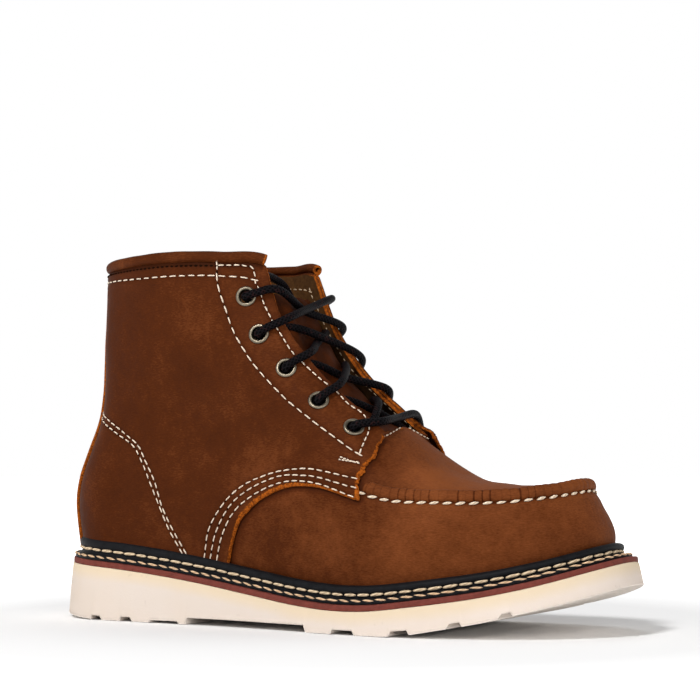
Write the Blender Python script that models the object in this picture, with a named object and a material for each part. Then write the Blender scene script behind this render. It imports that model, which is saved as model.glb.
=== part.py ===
"""Right moc toe work boot on a wedge sole.

Metres, X towards the toe, Y towards the inner side of the foot, Z up.
The origin is on the floor under the middle of the sole.
"""
import math
from collections import namedtuple

import bmesh
import bpy
from mathutils import Vector

MM = 0.001

# main sizes in millimetres
SOLE_LENGTH = 300.2
HEEL_END = -151.3
SOLE_FLARE = 2.2
AXIS_Y = 3.6
HEEL_ROUND = 37.0
TOE_ROUND = 50.0
TOE_POWER = 2.15
MIDSOLE_THICK = 2.6
GAP = 0.3
UPPER_WALL = 2.0
QUARTER_WALL = 1.8
BACKSTAY_WALL = 1.6
HEEL_INSET = 8.0
TOE_INSET = 13.0
INSOLE_THICK = 4.0
COLLAR_RADIUS = 2.7
LACE_RADIUS = 1.9
EYELET_RADIUS = 4.8
EYELET_BORE = 2.9
EYELET_BARREL = 3.5
EYELET_FLANGE = 1.3
EYELET_DEPTH = 5.0
HOLE_RADIUS = 4.1
HOLE_REACH = 9.0

CENTRE_X = HEEL_END + SOLE_LENGTH / 2

# bottom pattern: share of the length, side swing of the middle, half width
Pattern = namedtuple("Pattern", "share swing half")
PATTERN = [
    Pattern(0.000, 0.0, 37.0),
    Pattern(0.125, 0.0, 37.0),
    Pattern(0.200, -0.6, 37.6),
    Pattern(0.300, -2.2, 38.3),
    Pattern(0.400, -4.2, 40.0),
    Pattern(0.500, -5.8, 44.2),
    Pattern(0.600, -5.8, 49.6),
    Pattern(0.680, -4.7, 52.7),
    Pattern(0.750, -3.2, 53.2),
    Pattern(0.820, -1.4, 51.6),
    Pattern(0.900, 0.8, 49.0),
    Pattern(1.000, 3.0, 46.0),
]

# side profile of the wedge: place along the sole and height
Profile = namedtuple("Profile", "x z")
TREAD = [
    Profile(-153.5, 2.4),
    Profile(-135.0, 1.0),
    Profile(-118.0, 0.0),
    Profile(-60.0, 0.0),
    Profile(0.0, 0.0),
    Profile(52.0, 0.0),
    Profile(64.0, 1.0),
    Profile(77.0, 3.2),
    Profile(99.0, 7.4),
    Profile(115.0, 11.4),
    Profile(130.0, 15.4),
    Profile(143.0, 19.6),
    Profile(153.5, 23.6),
]
TREAD_CORNERS = ((2, 1.0), (5, 1.0))
WEDGE = [
    Profile(-153.5, 29.2),
    Profile(-137.0, 28.4),
    Profile(-98.0, 25.6),
    Profile(-54.0, 20.8),
    Profile(-24.0, 16.4),
    Profile(7.0, 12.0),
    Profile(24.0, 10.9),
    Profile(38.0, 11.1),
    Profile(68.0, 13.8),
    Profile(106.0, 19.3),
    Profile(122.0, 23.1),
    Profile(136.0, 27.3),
    Profile(145.0, 30.4),
    Profile(153.5, 33.8),
]

# cross grooves of the tread, with the arch as the longest
Groove = namedtuple("Groove", "start end depth")
GROOVES = [
    Groove(-122.0, -114.5, 2.0),
    Groove(-103.5, -95.5, 2.0),
    Groove(-85.5, -66.5, 1.2),
    Groove(-62.5, 11.0, 3.2),
    Groove(25.5, 38.5, 2.0),
    Groove(56.5, 66.5, 2.2),
    Groove(84.0, 91.0, 2.0),
    Groove(107.0, 113.0, 1.8),
]
GROOVE_SLOPE = 1.2

# upper: each section climbs from the welt to the top line
Section = namedtuple(
    "Section",
    "name foot bulge_out bulge_up mid_x mid_half mid_z "
    "high_x high_half high_z top_x top_half top_z swing crease",
)
SECTIONS = [
    Section("heel back", -143.3, 2.4, 32, -132.6, 0, 104, -129.8, 0, 141, -128.6, 0, 175, 0, 0),
    Section("heel corner", -131, 2.9, 32, -121, 22.2, 104, -118, 24.5, 141, -116, 25.6, 175, 0, 0),
    Section("heel side", -108, 3.5, 32, -102, 27.8, 102, -96.5, 32.6, 140, -94.5, 36.2, 175.6, 0, 0),
    Section("rear waist", -70, 4.0, 32, -72, 30.5, 99, -70, 35.5, 139, -69, 39.0, 176, 0, 0),
    Section("waist", -35, 4.0, 30, -46, 34.0, 94, -46, 36.3, 136, -46, 36.0, 175, 0, 0),
    Section("collar front", -10, 4.0, 28, -20, 38.0, 87, -30, 36.0, 130, -27, 25.5, 173.5, 0, 0),
    Section("throat upper", 3, 3.9, 27.4, -6.8, 39.7, 82.8, -17, 35.7, 120.5, -17, 26.8, 147, -0.4, 0),
    Section("throat middle", 15, 3.8, 27, 6, 41.0, 78, -2, 35.5, 109, -0.8, 25.0, 125, -1.0, 0),
    Section("throat corner", 38, 3.6, 26, 34, 43.2, 65, 35.5, 36.2, 81.4, 37.2, 23.5, 92, -2.4, 0.3),
    Section("throat end", 52, 3.6, 26, 47, 43.2, 61.5, 44, 27.0, 81.5, 36, 0, 95.5, -2.8, 0.6),
    Section("vamp", 78, 3.4, 25, 75, 42.0, 60, 70, 25.0, 69.2, 64, 0, 74.5, -2.4, 0.8),
    Section("toe side", 104, 3.2, 22, 101, 37.5, 60.3, 95, 23.0, 66.0, 87, 0, 68.5, -0.8, 0.8),
    Section("toe corner", 124, 2.8, 18, 120.5, 26.5, 62.4, 112, 16.0, 66.4, 102, 0, 67.6, 1.0, 0.8),
    Section("toe tip", 135.9, 2.2, 13, 131.8, 0, 65.2, 123, 0, 67.2, 113, 0, 67.5, 2.4, 0.8),
]
COLLAR_FRONT = 5
THROAT_CORNER = 8
THROAT_END = 9
LEVELS = (0.0, 0.22, 0.5, 0.75, 1.0)
COLUMN_STEPS = (3, 3, 2, 2, 2, 1, 1, 2, 2, 3, 3, 3, 3)
COLUMN_LEAST = 0.008
CLIMB_STEPS = 10

# side view of the quarter's lower edge, from the welt to its front corner
QUARTER_EDGE = [
    Profile(-42.2, 29.5),
    Profile(-38.8, 39.6),
    Profile(-35.1, 47.8),
    Profile(-27.8, 55.8),
    Profile(-16.0, 63.1),
    Profile(-4.8, 66.7),
    Profile(7.5, 67.2),
    Profile(19.2, 65.3),
    Profile(34.3, 61.0),
]

# side view of the eyelets, from the collar down
EYELETS = [
    Profile(-34.0, 158.1),
    Profile(-25.6, 139.5),
    Profile(-10.6, 122.5),
    Profile(7.5, 106.5),
    Profile(25.9, 93.5),
]

# tongue: share of the throat from the bottom, crown above the edges
Tongue = namedtuple("Tongue", "share crown sink")
TONGUE = [
    Tongue(0.00, 1.0, 2.2),
    Tongue(0.15, 2.0, 2.4),
    Tongue(0.40, 3.0, 3.0),
    Tongue(0.65, 2.5, 4.0),
    Tongue(0.88, 1.0, 6.0),
]
TONGUE_THICK = 2.4
TONGUE_TUCK = 9.0
TUCK_NARROW = 0.35

LATERAL = -1
MEDIAL = 1

LEATHER = (0.110, 0.036, 0.013, 1.0)
CREAM = (0.850, 0.760, 0.620, 1.0)
RED_BROWN = (0.200, 0.050, 0.032, 1.0)
BLACK = (0.012, 0.012, 0.013, 1.0)
TAN = (0.420, 0.240, 0.110, 1.0)
METAL = (0.300, 0.270, 0.230, 1.0)


def curve(keys, values, at, corners=(), flat_ends=False):
    """Smooth curve through the values, straight on both sides of a corner."""
    last = len(keys) - 1
    at = min(max(at, keys[0]), keys[last])
    i = 0
    while i < last - 1 and at > keys[i + 1]:
        i += 1

    def secant(k):
        return (values[k + 1] - values[k]) / (keys[k + 1] - keys[k])

    def slope(k, side):
        if k == 0:
            return 0.0 if flat_ends else secant(0)
        if k == last:
            return 0.0 if flat_ends else secant(last - 1)
        before, after = keys[k] - keys[k - 1], keys[k + 1] - keys[k]
        smooth = (secant(k - 1) * after + secant(k) * before) / (before + after)
        sharp = 0.0
        for knot, amount in corners:
            if knot == k:
                sharp = amount
        return smooth * (1 - sharp) + secant(k - 1 if side < 0 else k) * sharp

    span = keys[i + 1] - keys[i]
    u = (at - keys[i]) / span
    start = (1 + 2 * u) * (1 - u) ** 2
    leave = u * (1 - u) ** 2
    end = u * u * (3 - 2 * u)
    reach = u * u * (u - 1)
    return (
        values[i] * start
        + slope(i, 1) * span * leave
        + values[i + 1] * end
        + slope(i + 1, -1) * span * reach
    )


def profile(rows, x, corners=()):
    return curve([r.x for r in rows], [r.z for r in rows], x, corners)


def pattern(column, share):
    return curve([r.share for r in PATTERN], [getattr(r, column) for r in PATTERN], share)


def outline(share, side, offset):
    """Plan point of the bottom pattern, moved out by the offset."""
    length = SOLE_LENGTH + 2 * offset
    x = HEEL_END - offset + share * length
    half = pattern("half", share) + offset
    from_heel, heel = share * length, HEEL_ROUND + offset
    from_toe, toe = (1 - share) * length, TOE_ROUND + offset
    if from_heel < heel:
        half *= math.sqrt(max(0.0, 1 - (1 - from_heel / heel) ** 2))
    if from_toe < toe:
        half *= max(0.0, 1 - (1 - from_toe / toe) ** TOE_POWER) ** (1 / TOE_POWER)
    return x, AXIS_Y + pattern("swing", share) + side * half


def turn_share(turn):
    """Share of the length at a turn from 0 at the heel to 1 at the toe."""
    return (1 - math.cos(math.pi * turn)) / 2


def x_turn(x, offset):
    length = SOLE_LENGTH + 2 * offset
    share = min(max((x - HEEL_END + offset) / length, 0.0), 1.0)
    return math.acos(1 - 2 * share) / math.pi


def sole_top(x):
    return profile(WEDGE, x) + GAP + MIDSOLE_THICK


def feather(turn, side, out=0.0):
    """Edge of the upper on the sole, moved out in plan by out."""
    share = turn_share(turn)
    x, y = outline(share, side, -(HEEL_INSET + (TOE_INSET - HEEL_INSET) * share) + out)
    return Vector((x, y, sole_top(x) + GAP))


def inset_turn(x):
    low, high = 0.0, 1.0
    for _ in range(40):
        turn = (low + high) / 2
        if feather(turn, LATERAL).x < x:
            low = turn
        else:
            high = turn
    return (low + high) / 2


TURNS = [inset_turn(s.foot) for s in SECTIONS]
TURNS[0] = 0.0
TURNS[-1] = 1.0
TOP_CORNERS = ((COLLAR_FRONT, 0.8), (THROAT_CORNER, 1.0), (THROAT_END, 1.0))


def column(name, turn, corners=(), flat_ends=True):
    return curve(TURNS, [getattr(s, name) for s in SECTIONS], turn, corners, flat_ends)


CONTROL = {}


def controls(turn, side):
    """Points of one section at each level, with crease and closing."""
    key = (round(turn, 9), side)
    if key in CONTROL:
        return CONTROL[key]
    swing = column("swing", turn)
    foot = feather(turn, side)
    bulge = feather(turn, side, column("bulge_out", turn))
    bulge.z = foot.z + column("bulge_up", turn)
    points = [foot, bulge]
    for level, corners in (("mid", ()), ("high", ()), ("top", TOP_CORNERS)):
        x = column(level + "_x", turn, corners)
        half = column(level + "_half", turn, corners, False)
        z = column(level + "_z", turn, corners)
        points.append(Vector((x, AXIS_Y + swing + side * half, z)))
    open_turn, closed_turn = TURNS[THROAT_CORNER], TURNS[THROAT_END]
    closed = min(max((turn - open_turn) / (closed_turn - open_turn), 0.0), 1.0)
    CONTROL[key] = (points, column("crease", turn), closed)
    return CONTROL[key]


def skin(turn, climb, side):
    """Point of the upper's outer face."""
    points, crease, closed = controls(turn, side)
    knots = LEVELS
    at = min(max(climb, 0.0), 1.0)
    i = 0
    while i < 3 and at > knots[i + 1]:
        i += 1

    def secant(k):
        return (points[k + 1] - points[k]) / (knots[k + 1] - knots[k])

    def slope(k, way):
        if k == 0:
            return secant(0)
        if k == 4:
            end = secant(3)
            return Vector((end.x * (1 - closed), end.y, end.z * (1 - closed)))
        before, after = knots[k] - knots[k - 1], knots[k + 1] - knots[k]
        smooth = (secant(k - 1) * after + secant(k) * before) / (before + after)
        sharp = crease if k == 2 else 0.0
        return smooth * (1 - sharp) + secant(k - 1 if way < 0 else k) * sharp

    span = knots[i + 1] - knots[i]
    u = (at - knots[i]) / span
    return (
        points[i] * ((1 + 2 * u) * (1 - u) ** 2)
        + slope(i, 1) * (span * u * (1 - u) ** 2)
        + points[i + 1] * (u * u * (3 - 2 * u))
        + slope(i + 1, -1) * (span * u * u * (u - 1))
    )


STEP = 0.004


def outward(turn, climb, side):
    """Unit normal of the upper's outer face."""
    low, high = max(turn - STEP, 0.0), min(turn + STEP, 1.0)
    down, up = max(climb - STEP, 0.0), min(climb + STEP, 1.0)
    along = skin(high, climb, side) - skin(low, climb, side)
    if turn - STEP < 0.0 or turn + STEP > 1.0:
        along = Vector((0.0, along.y, 0.0))
    rise = skin(turn, up, side) - skin(turn, down, side)
    normal = along.cross(rise)
    return normal.normalized() * (-side)


def raised(turn, climb, side, height):
    return skin(turn, climb, side) + outward(turn, climb, side) * height


def side_place(x, z, side):
    """Turn and climb of the face point seen at x and z from the side."""
    best = None
    for i in range(41):
        for j in range(41):
            turn, climb = i / 40, j / 40
            p = skin(turn, climb, side)
            miss = (p.x - x) ** 2 + (p.z - z) ** 2
            if best is None or miss < best[0]:
                best = (miss, turn, climb)
    _, turn, climb = best
    reach = 1 / 40
    while reach > 1e-5:
        for dt, dc in ((1, 0), (-1, 0), (0, 1), (0, -1), (1, 1), (-1, -1), (1, -1), (-1, 1)):
            t = min(max(turn + dt * reach, 0.0), 1.0)
            c = min(max(climb + dc * reach, 0.0), 1.0)
            p = skin(t, c, side)
            miss = (p.x - x) ** 2 + (p.z - z) ** 2
            if miss < best[0]:
                best = (miss, t, c)
        if (best[1], best[2]) == (turn, climb):
            reach /= 2
        _, turn, climb = best
    return turn, climb


def material(name, colour, rough, metallic=0.0):
    found = bpy.data.materials.get(name)
    if found:
        return found
    made = bpy.data.materials.new(name)
    made.use_nodes = True
    shader = made.node_tree.nodes["Principled BSDF"]
    shader.inputs["Base Color"].default_value = colour
    shader.inputs["Roughness"].default_value = rough
    shader.inputs["Metallic"].default_value = metallic
    made.diffuse_color = colour
    return made


def publish(name, bm, look):
    """Turn a closed bmesh in millimetres into a named object in metres."""
    bmesh.ops.remove_doubles(bm, verts=bm.verts, dist=0.001)
    bmesh.ops.dissolve_degenerate(bm, edges=bm.edges, dist=0.001)
    bmesh.ops.recalc_face_normals(bm, faces=bm.faces)
    if bm.calc_volume(signed=True) < 0:
        bmesh.ops.reverse_faces(bm, faces=bm.faces)
    bmesh.ops.triangulate(bm, faces=bm.faces)
    bmesh.ops.translate(bm, vec=(-CENTRE_X, 0, 0), verts=bm.verts)
    bmesh.ops.scale(bm, vec=(MM, MM, MM), verts=bm.verts)
    mesh = bpy.data.meshes.new(name)
    bm.to_mesh(mesh)
    bm.free()
    made = bpy.data.objects.new(name, mesh)
    bpy.context.collection.objects.link(made)
    mesh.materials.append(look)
    return made


def add_grid(bm, rows, closed=False):
    """Quads over rows of points, each row closed into a ring if asked."""
    verts = [[bm.verts.new(p) for p in row] for row in rows]
    count = len(rows[0])
    steps = count if closed else count - 1
    for a, b in zip(verts, verts[1:]):
        for j in range(steps):
            k = (j + 1) % count
            bm.faces.new((a[j], a[k], b[k], b[j]))
    return verts


def slab(name, turns, bottom, top, look):
    """Solid between two faces, each a function of turn and side."""
    bm = bmesh.new()
    loop = [(t, LATERAL) for t in turns] + [(t, MEDIAL) for t in reversed(turns[1:-1])]
    low = [bm.verts.new(bottom(t, s)) for t, s in loop]
    high = [bm.verts.new(top(t, s)) for t, s in loop]
    count, last = len(loop), len(turns) - 1
    for i in range(count):
        k = (i + 1) % count
        bm.faces.new((low[i], low[k], high[k], high[i]))
    for ring, flip in ((low, True), (high, False)):
        for i in range(last):
            left, right = ring[i], ring[i + 1]
            corners = [left, right]
            if i + 1 < last:
                corners.append(ring[count - i - 1])
            if i > 0:
                corners.append(ring[count - i])
            if flip:
                corners.reverse()
            bm.faces.new(corners)
    return publish(name, bm, look)


def sheet_solid(name, outer, inner, look):
    """Solid plate between two grids of the same size."""
    bm = bmesh.new()
    a, b = add_grid(bm, outer), add_grid(bm, inner)
    rows, count = len(outer), len(outer[0])
    rim = [(0, j) for j in range(count)]
    rim += [(i, count - 1) for i in range(1, rows)]
    rim += [(rows - 1, j) for j in range(count - 2, -1, -1)]
    rim += [(i, 0) for i in range(rows - 2, 0, -1)]
    for (i, j), (k, m) in zip(rim, rim[1:] + rim[:1]):
        bm.faces.new((a[i][j], a[k][m], b[k][m], b[i][j]))
    return publish(name, bm, look)


def swept(name, rings, look, ring_closed=False):
    """Solid of rings in order, with flat ends or closed on itself."""
    bm = bmesh.new()
    rows = rings + rings[:1] if ring_closed else rings
    verts = add_grid(bm, rows, closed=True)
    if not ring_closed:
        bm.faces.new(list(reversed(verts[0])))
        bm.faces.new(verts[-1])
    return publish(name, bm, look)


def cut(made, cutter):
    """Take the cutter away from the object."""
    step = made.modifiers.new("cut", "BOOLEAN")
    step.operation = "DIFFERENCE"
    step.solver = "EXACT"
    step.object = cutter
    apply_steps(made)


def apply_steps(made):
    graph = bpy.context.evaluated_depsgraph_get()
    mesh = bpy.data.meshes.new_from_object(made.evaluated_get(graph))
    made.modifiers.clear()
    old = made.data
    made.data = mesh
    mesh.name = made.name
    bpy.data.meshes.remove(old)


# sole

SOLE_STEPS = 30
EVEN_TURNS = [i / SOLE_STEPS for i in range(SOLE_STEPS + 1)]


def groove_depth(x):
    depth = 0.0
    for g in GROOVES:
        rise = min((x - g.start) / GROOVE_SLOPE, (g.end - x) / GROOVE_SLOPE, 1.0)
        depth = max(depth, g.depth * max(rise, 0.0))
    return depth


def tread_point(turn, side):
    x, y = outline(turn_share(turn), side, SOLE_FLARE)
    return Vector((x, y, profile(TREAD, x, TREAD_CORNERS) + groove_depth(x)))


def wedge_point(turn, side):
    x, y = outline(turn_share(turn), side, 0.0)
    return Vector((x, y, profile(WEDGE, x)))


def midsole_low(turn, side):
    x, y = outline(turn_share(turn), side, -0.3)
    return Vector((x, y, profile(WEDGE, x) + GAP))


def midsole_high(turn, side):
    x, y = outline(turn_share(turn), side, -0.8)
    return Vector((x, y, sole_top(x)))


def make_sole():
    marks = []
    for g in GROOVES:
        marks += [g.start, g.start + GROOVE_SLOPE, g.end - GROOVE_SLOPE, g.end]
    mark_turns = [x_turn(x, SOLE_FLARE) for x in marks]
    nearest = 0.35 / SOLE_STEPS
    kept = [t for t in EVEN_TURNS if all(abs(t - m) > nearest for m in mark_turns)]
    turns = sorted(kept + mark_turns)
    foam = material("cream foam rubber", CREAM, 0.75)
    slab("outsole", turns, tread_point, wedge_point, foam)
    slab("midsole", EVEN_TURNS, midsole_low, midsole_high, material("red rubber", RED_BROWN, 0.7))
    inner = UPPER_WALL + 1.0

    def insole_low(turn, side):
        return feather(turn, side, -inner)

    def insole_high(turn, side):
        point = feather(turn, side, -inner)
        return point + Vector((0, 0, INSOLE_THICK))

    slab("insole", EVEN_TURNS, insole_low, insole_high, material("tan insole", TAN, 0.8))


# welt section: share from the upper to the sole edge, height over the midsole
WeltPoint = namedtuple("WeltPoint", "share z")
WELT = [
    WeltPoint(1.0, 0.0),
    WeltPoint(1.0, 2.0),
    WeltPoint(0.52, 2.4),
    WeltPoint(0.46, 4.4),
    WeltPoint(0.60, 5.6),
    WeltPoint(0.52, 8.4),
    WeltPoint(0.22, 9.2),
]
WELT_CLEAR = 0.5
WELT_SEAT = 0.5


def skin_at_height(turn, side, z):
    low, high = 0.0, LEVELS[1]
    for _ in range(24):
        middle = (low + high) / 2
        if skin(turn, middle, side).z < z:
            low = middle
        else:
            high = middle
    return skin(turn, (low + high) / 2, side)


def welt_ring(turn, side):
    share = turn_share(turn)
    edge = Vector((*outline(share, side, -1.0 - 2.0 * share), 0.0))
    base = feather(turn, side)
    out = Vector((edge.x - base.x, edge.y - base.y, 0.0))
    clear = out.normalized() * WELT_CLEAR
    points = []
    for row in WELT:
        flat = base + out * row.share
        points.append(Vector((flat.x, flat.y, sole_top(flat.x) + WELT_SEAT + row.z)))
    top = WELT[-1].z
    for height in (top, top / 2, 0.0):
        wall = skin_at_height(turn, side, base.z + height) + clear
        points.append(Vector((wall.x, wall.y, sole_top(wall.x) + WELT_SEAT + height)))
    return points


def make_welt():
    loop = [(t, LATERAL) for t in EVEN_TURNS]
    loop += [(t, MEDIAL) for t in reversed(EVEN_TURNS[1:-1])]
    rings = [welt_ring(t, s) for t, s in loop]
    swept("welt", rings, material("black rubber", BLACK, 0.6), ring_closed=True)


# upper

EDGE_PLACES = [side_place(p.x, p.z, LATERAL) for p in QUARTER_EDGE]


def apart(turn, others):
    return all(abs(turn - other) > COLUMN_LEAST for other in others)


def column_turns():
    """Turns of the upper's columns, with the points of the quarter's edge."""
    marks = [turn for turn, _ in EDGE_PLACES if apart(turn, TURNS)]
    between = []
    for a, b, steps in zip(TURNS, TURNS[1:], COLUMN_STEPS):
        between += [a + (b - a) * i / steps for i in range(1, steps)]
    return sorted(TURNS + marks + [t for t in between if apart(t, marks)])


COLUMNS = column_turns()
CLIMBS = [j / CLIMB_STEPS for j in range(CLIMB_STEPS + 1)]


def make_upper():
    bm = bmesh.new()
    for side in (LATERAL, MEDIAL):
        grid = [[skin(t, c, side) for c in CLIMBS] for t in COLUMNS]
        add_grid(bm, grid if side == LATERAL else grid[::-1])
    bmesh.ops.remove_doubles(bm, verts=bm.verts, dist=0.01)
    bmesh.ops.recalc_face_normals(bm, faces=bm.faces)
    bm.normal_update()
    middle = Vector((-60.0, AXIS_Y, 100.0))
    probe = min(bm.faces, key=lambda f: (f.calc_center_median() - Vector((-70, -30, 110))).length)
    if probe.normal.dot(probe.calc_center_median() - middle) < 0:
        bmesh.ops.reverse_faces(bm, faces=bm.faces)
        bm.normal_update()
    outer = list(bm.verts)
    faces = list(bm.faces)
    rims = [e for e in bm.edges if e.is_boundary]
    twin = {}
    for v in outer:
        flat = v.co.z - (sole_top(v.co.x) + GAP) < 0.05
        inside = v.co - v.normal * UPPER_WALL
        if flat:
            inside.z = v.co.z
        twin[v] = bm.verts.new(inside)
    for f in faces:
        bm.faces.new([twin[v] for v in reversed(f.verts)])
    for e in rims:
        a, b = e.verts
        bm.faces.new((a, b, twin[b], twin[a]))
    return publish("upper", bm, material("brown leather", LEATHER, 0.55))


QUARTER_LIFT = GAP + QUARTER_WALL
QUARTER_BACK = 0.004


def quarter_low(turn, side):
    """Climb of the quarter's lower edge, on the welt or over the vamp."""
    low = welt_climb(turn, side)
    keys = [place[0] for place in EDGE_PLACES]
    if turn > keys[0]:
        low = max(low, curve(keys, [place[1] for place in EDGE_PLACES], turn))
    return low


def make_quarter(name, side):
    """Side panel from the back seam to the throat, over the vamp."""
    front = TURNS[THROAT_CORNER]
    outer, inner = [], []
    for turn in [t for t in COLUMNS if t <= front]:
        low = quarter_low(turn, side)
        turn = max(turn, QUARTER_BACK)
        climbs = [max(climb, low) for climb in CLIMBS]
        outer.append([raised(turn, c, side, QUARTER_LIFT) for c in climbs])
        inner.append([raised(turn, c, side, GAP) for c in climbs])
    return sheet_solid(name, outer, inner, material("brown leather", LEATHER, 0.55))


def welt_climb(turn, side):
    """Climb just above the top of the welt."""
    target = feather(turn, side).z + WELT[-1].z + 0.6
    low, high = 0.0, LEVELS[1]
    for _ in range(24):
        middle = (low + high) / 2
        if skin(turn, middle, side).z < target:
            low = middle
        else:
            high = middle
    return (low + high) / 2


# half width of the backstay in turns, from the welt to the collar
BACKSTAY_HALF = [Profile(0.0, 0.066), Profile(0.35, 0.060), Profile(0.6, 0.042), Profile(1.0, 0.030)]
BACKSTAY_CLEAR = 0.5
BACKSTAY_TOP = 0.985


def make_backstay():
    outer, inner = [], []
    base = QUARTER_LIFT + BACKSTAY_CLEAR
    low = welt_climb(0.0, LATERAL)
    for row in [low] + [c for c in CLIMBS if c > low]:
        climb = min(row, BACKSTAY_TOP)
        half = profile(BACKSTAY_HALF, climb)
        across = [(half, LATERAL), (half / 2, LATERAL), (0.0, LATERAL), (half / 2, MEDIAL), (half, MEDIAL)]
        outer.append([raised(t, climb, s, base + BACKSTAY_WALL) for t, s in across])
        inner.append([raised(t, climb, s, base) for t, s in across])
    sheet_solid("backstay", outer, inner, material("brown leather", LEATHER, 0.55))


def ring_around(centre, along, up, radius, count, tall=1.0):
    """Points of an oval across a path."""
    along = along.normalized()
    side = along.cross(up).normalized()
    lift = side.cross(along).normalized()
    ring = []
    for k in range(count):
        angle = 2 * math.pi * k / count
        ring.append(centre + side * (radius * math.cos(angle)) + lift * (radius * tall * math.sin(angle)))
    return ring


def tube(path, radius, count, ups, tall=1.0):
    rings = []
    for i, point in enumerate(path):
        ahead = path[min(i + 1, len(path) - 1)]
        behind = path[max(i - 1, 0)]
        rings.append(ring_around(point, ahead - behind, ups[i], radius, count, tall))
    return rings


COLLAR_CLEAR = 0.9


def make_collar():
    corner = TURNS[COLLAR_FRONT]
    steps = 12
    path = []
    for i in range(-steps, steps + 1):
        turn = corner * abs(i) / steps
        side = LATERAL if i < 0 else MEDIAL
        point = raised(turn, 1.0, side, (QUARTER_LIFT - UPPER_WALL) / 2)
        path.append(point + Vector((0, 0, COLLAR_RADIUS + COLLAR_CLEAR)))
    ups = [Vector((0, 0, 1))] * len(path)
    rings = tube(path, COLLAR_RADIUS, 8, ups)
    swept("collar_roll", rings, material("brown leather", LEATHER, 0.55))


RIM_WIDE = 2.6
RIM_LIFT = 2.1
RIM_CLIMB = 0.515
RIM_START = 0.016


def make_rim():
    start = TURNS[THROAT_CORNER] + RIM_START
    turns = [start] + [t for t in COLUMNS if t > start]
    loop = [(t, LATERAL) for t in turns] + [(t, MEDIAL) for t in reversed(turns[:-1])]
    path, ups = [], []
    for turn, side in loop:
        path.append(raised(turn, RIM_CLIMB, side, RIM_LIFT + GAP))
        ups.append(outward(turn, RIM_CLIMB, side))
    swept("moc_rim", tube(path, RIM_WIDE, 8, ups, RIM_LIFT / RIM_WIDE), material("brown leather", LEATHER, 0.55))


def throat_turn(share):
    """Turn of the throat edge at a share of its height from the bottom."""
    return TURNS[THROAT_CORNER] + (TURNS[COLLAR_FRONT] - TURNS[THROAT_CORNER]) * share


TONGUE_BACK = (0.80, 0.90)


def make_tongue():
    rows = []
    steps = 12
    keys = [t.share for t in TONGUE]
    for i in range(steps + 1):
        share = TONGUE[-1].share * i / steps
        crown = curve(keys, [t.crown for t in TONGUE], share)
        sink = UPPER_WALL + curve(keys, [t.sink for t in TONGUE], share)
        turn = throat_turn(share)
        left = [raised(turn, c, LATERAL, -sink) for c in (*TONGUE_BACK, 1.0)]
        right = [raised(turn, c, MEDIAL, -sink) for c in (*TONGUE_BACK, 1.0)]
        middle = (left[-1] + right[-1]) / 2
        across = right[-1] - left[-1]
        ahead = skin(throat_turn(min(share + 0.02, 1)), 1.0, LATERAL)
        behind = skin(throat_turn(max(share - 0.02, 0)), 1.0, LATERAL)
        along = ahead - behind
        along.y = 0.0
        face = along.cross(across).normalized()
        if face.x < 0:
            face = -face
        quarter_left = left[-1].lerp(middle, 0.5) + face * (crown * 0.75)
        quarter_right = right[-1].lerp(middle, 0.5) + face * (crown * 0.75)
        row = left + [quarter_left, middle + face * crown, quarter_right] + right[::-1]
        rows.append((row, face))
    first, second = rows[0][0], rows[1][0]
    reach = []
    for a, b in zip(first, second):
        step = (a - b).normalized() * TONGUE_TUCK
        reach.append(a.lerp(first[len(first) // 2], TUCK_NARROW) + step)
    rows.insert(0, (reach, rows[0][1]))
    outer = [row for row, _ in rows]
    inner = []
    for i, row in enumerate(outer):
        ahead = outer[min(i + 1, len(outer) - 1)]
        behind = outer[max(i - 1, 0)]
        under = []
        for j, point in enumerate(row):
            right = row[min(j + 1, len(row) - 1)] - row[max(j - 1, 0)]
            rise = ahead[j] - behind[j]
            normal = right.cross(rise).normalized()
            if normal.dot(rows[i][1]) < 0:
                normal = -normal
            under.append(point - normal * TONGUE_THICK)
        inner.append(under)
    sheet_solid("tongue", outer, inner, material("brown leather", LEATHER, 0.55))


# eyelet section: radius and height over the quarter
EYELET_PROFILE = [
    (EYELET_RADIUS, 0.0),
    (EYELET_RADIUS - 0.2, 0.8),
    (EYELET_RADIUS - 0.9, EYELET_FLANGE),
    (EYELET_BORE, 0.5),
    (EYELET_BORE, -EYELET_DEPTH),
    (EYELET_BARREL, -EYELET_DEPTH),
    (EYELET_BARREL, 0.0),
]
EYELET_SIDES = 10
HOLE_SIDES = 8
EYELET_CLEAR = 0.7
EYELET_LIFT = QUARTER_LIFT + EYELET_CLEAR


def eyelet_frame(row, side):
    """Middle, axis and two cross directions of one eyelet."""
    turn, climb = side_place(row.x, row.z, side)
    axis = outward(turn, climb, side)
    across = axis.cross(Vector((0, 0, 1))).normalized()
    return skin(turn, climb, side), axis, across, axis.cross(across)


def round_ring(middle, axis, across, rise, radius, height, count):
    ring = []
    for k in range(count):
        angle = 2 * math.pi * k / count
        flat = across * math.cos(angle) + rise * math.sin(angle)
        ring.append(middle + axis * height + flat * radius)
    return ring


def make_eyelets(side, label):
    metal = material("aged metal", METAL, 0.4, 1.0)
    for number, row in enumerate(EYELETS, 1):
        middle, axis, across, rise = eyelet_frame(row, side)
        rings = []
        for radius, height in EYELET_PROFILE:
            rings.append(round_ring(middle, axis, across, rise, radius, EYELET_LIFT + height, EYELET_SIDES))
        swept(f"eyelet_{label}_{number}", rings, metal, ring_closed=True)


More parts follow.
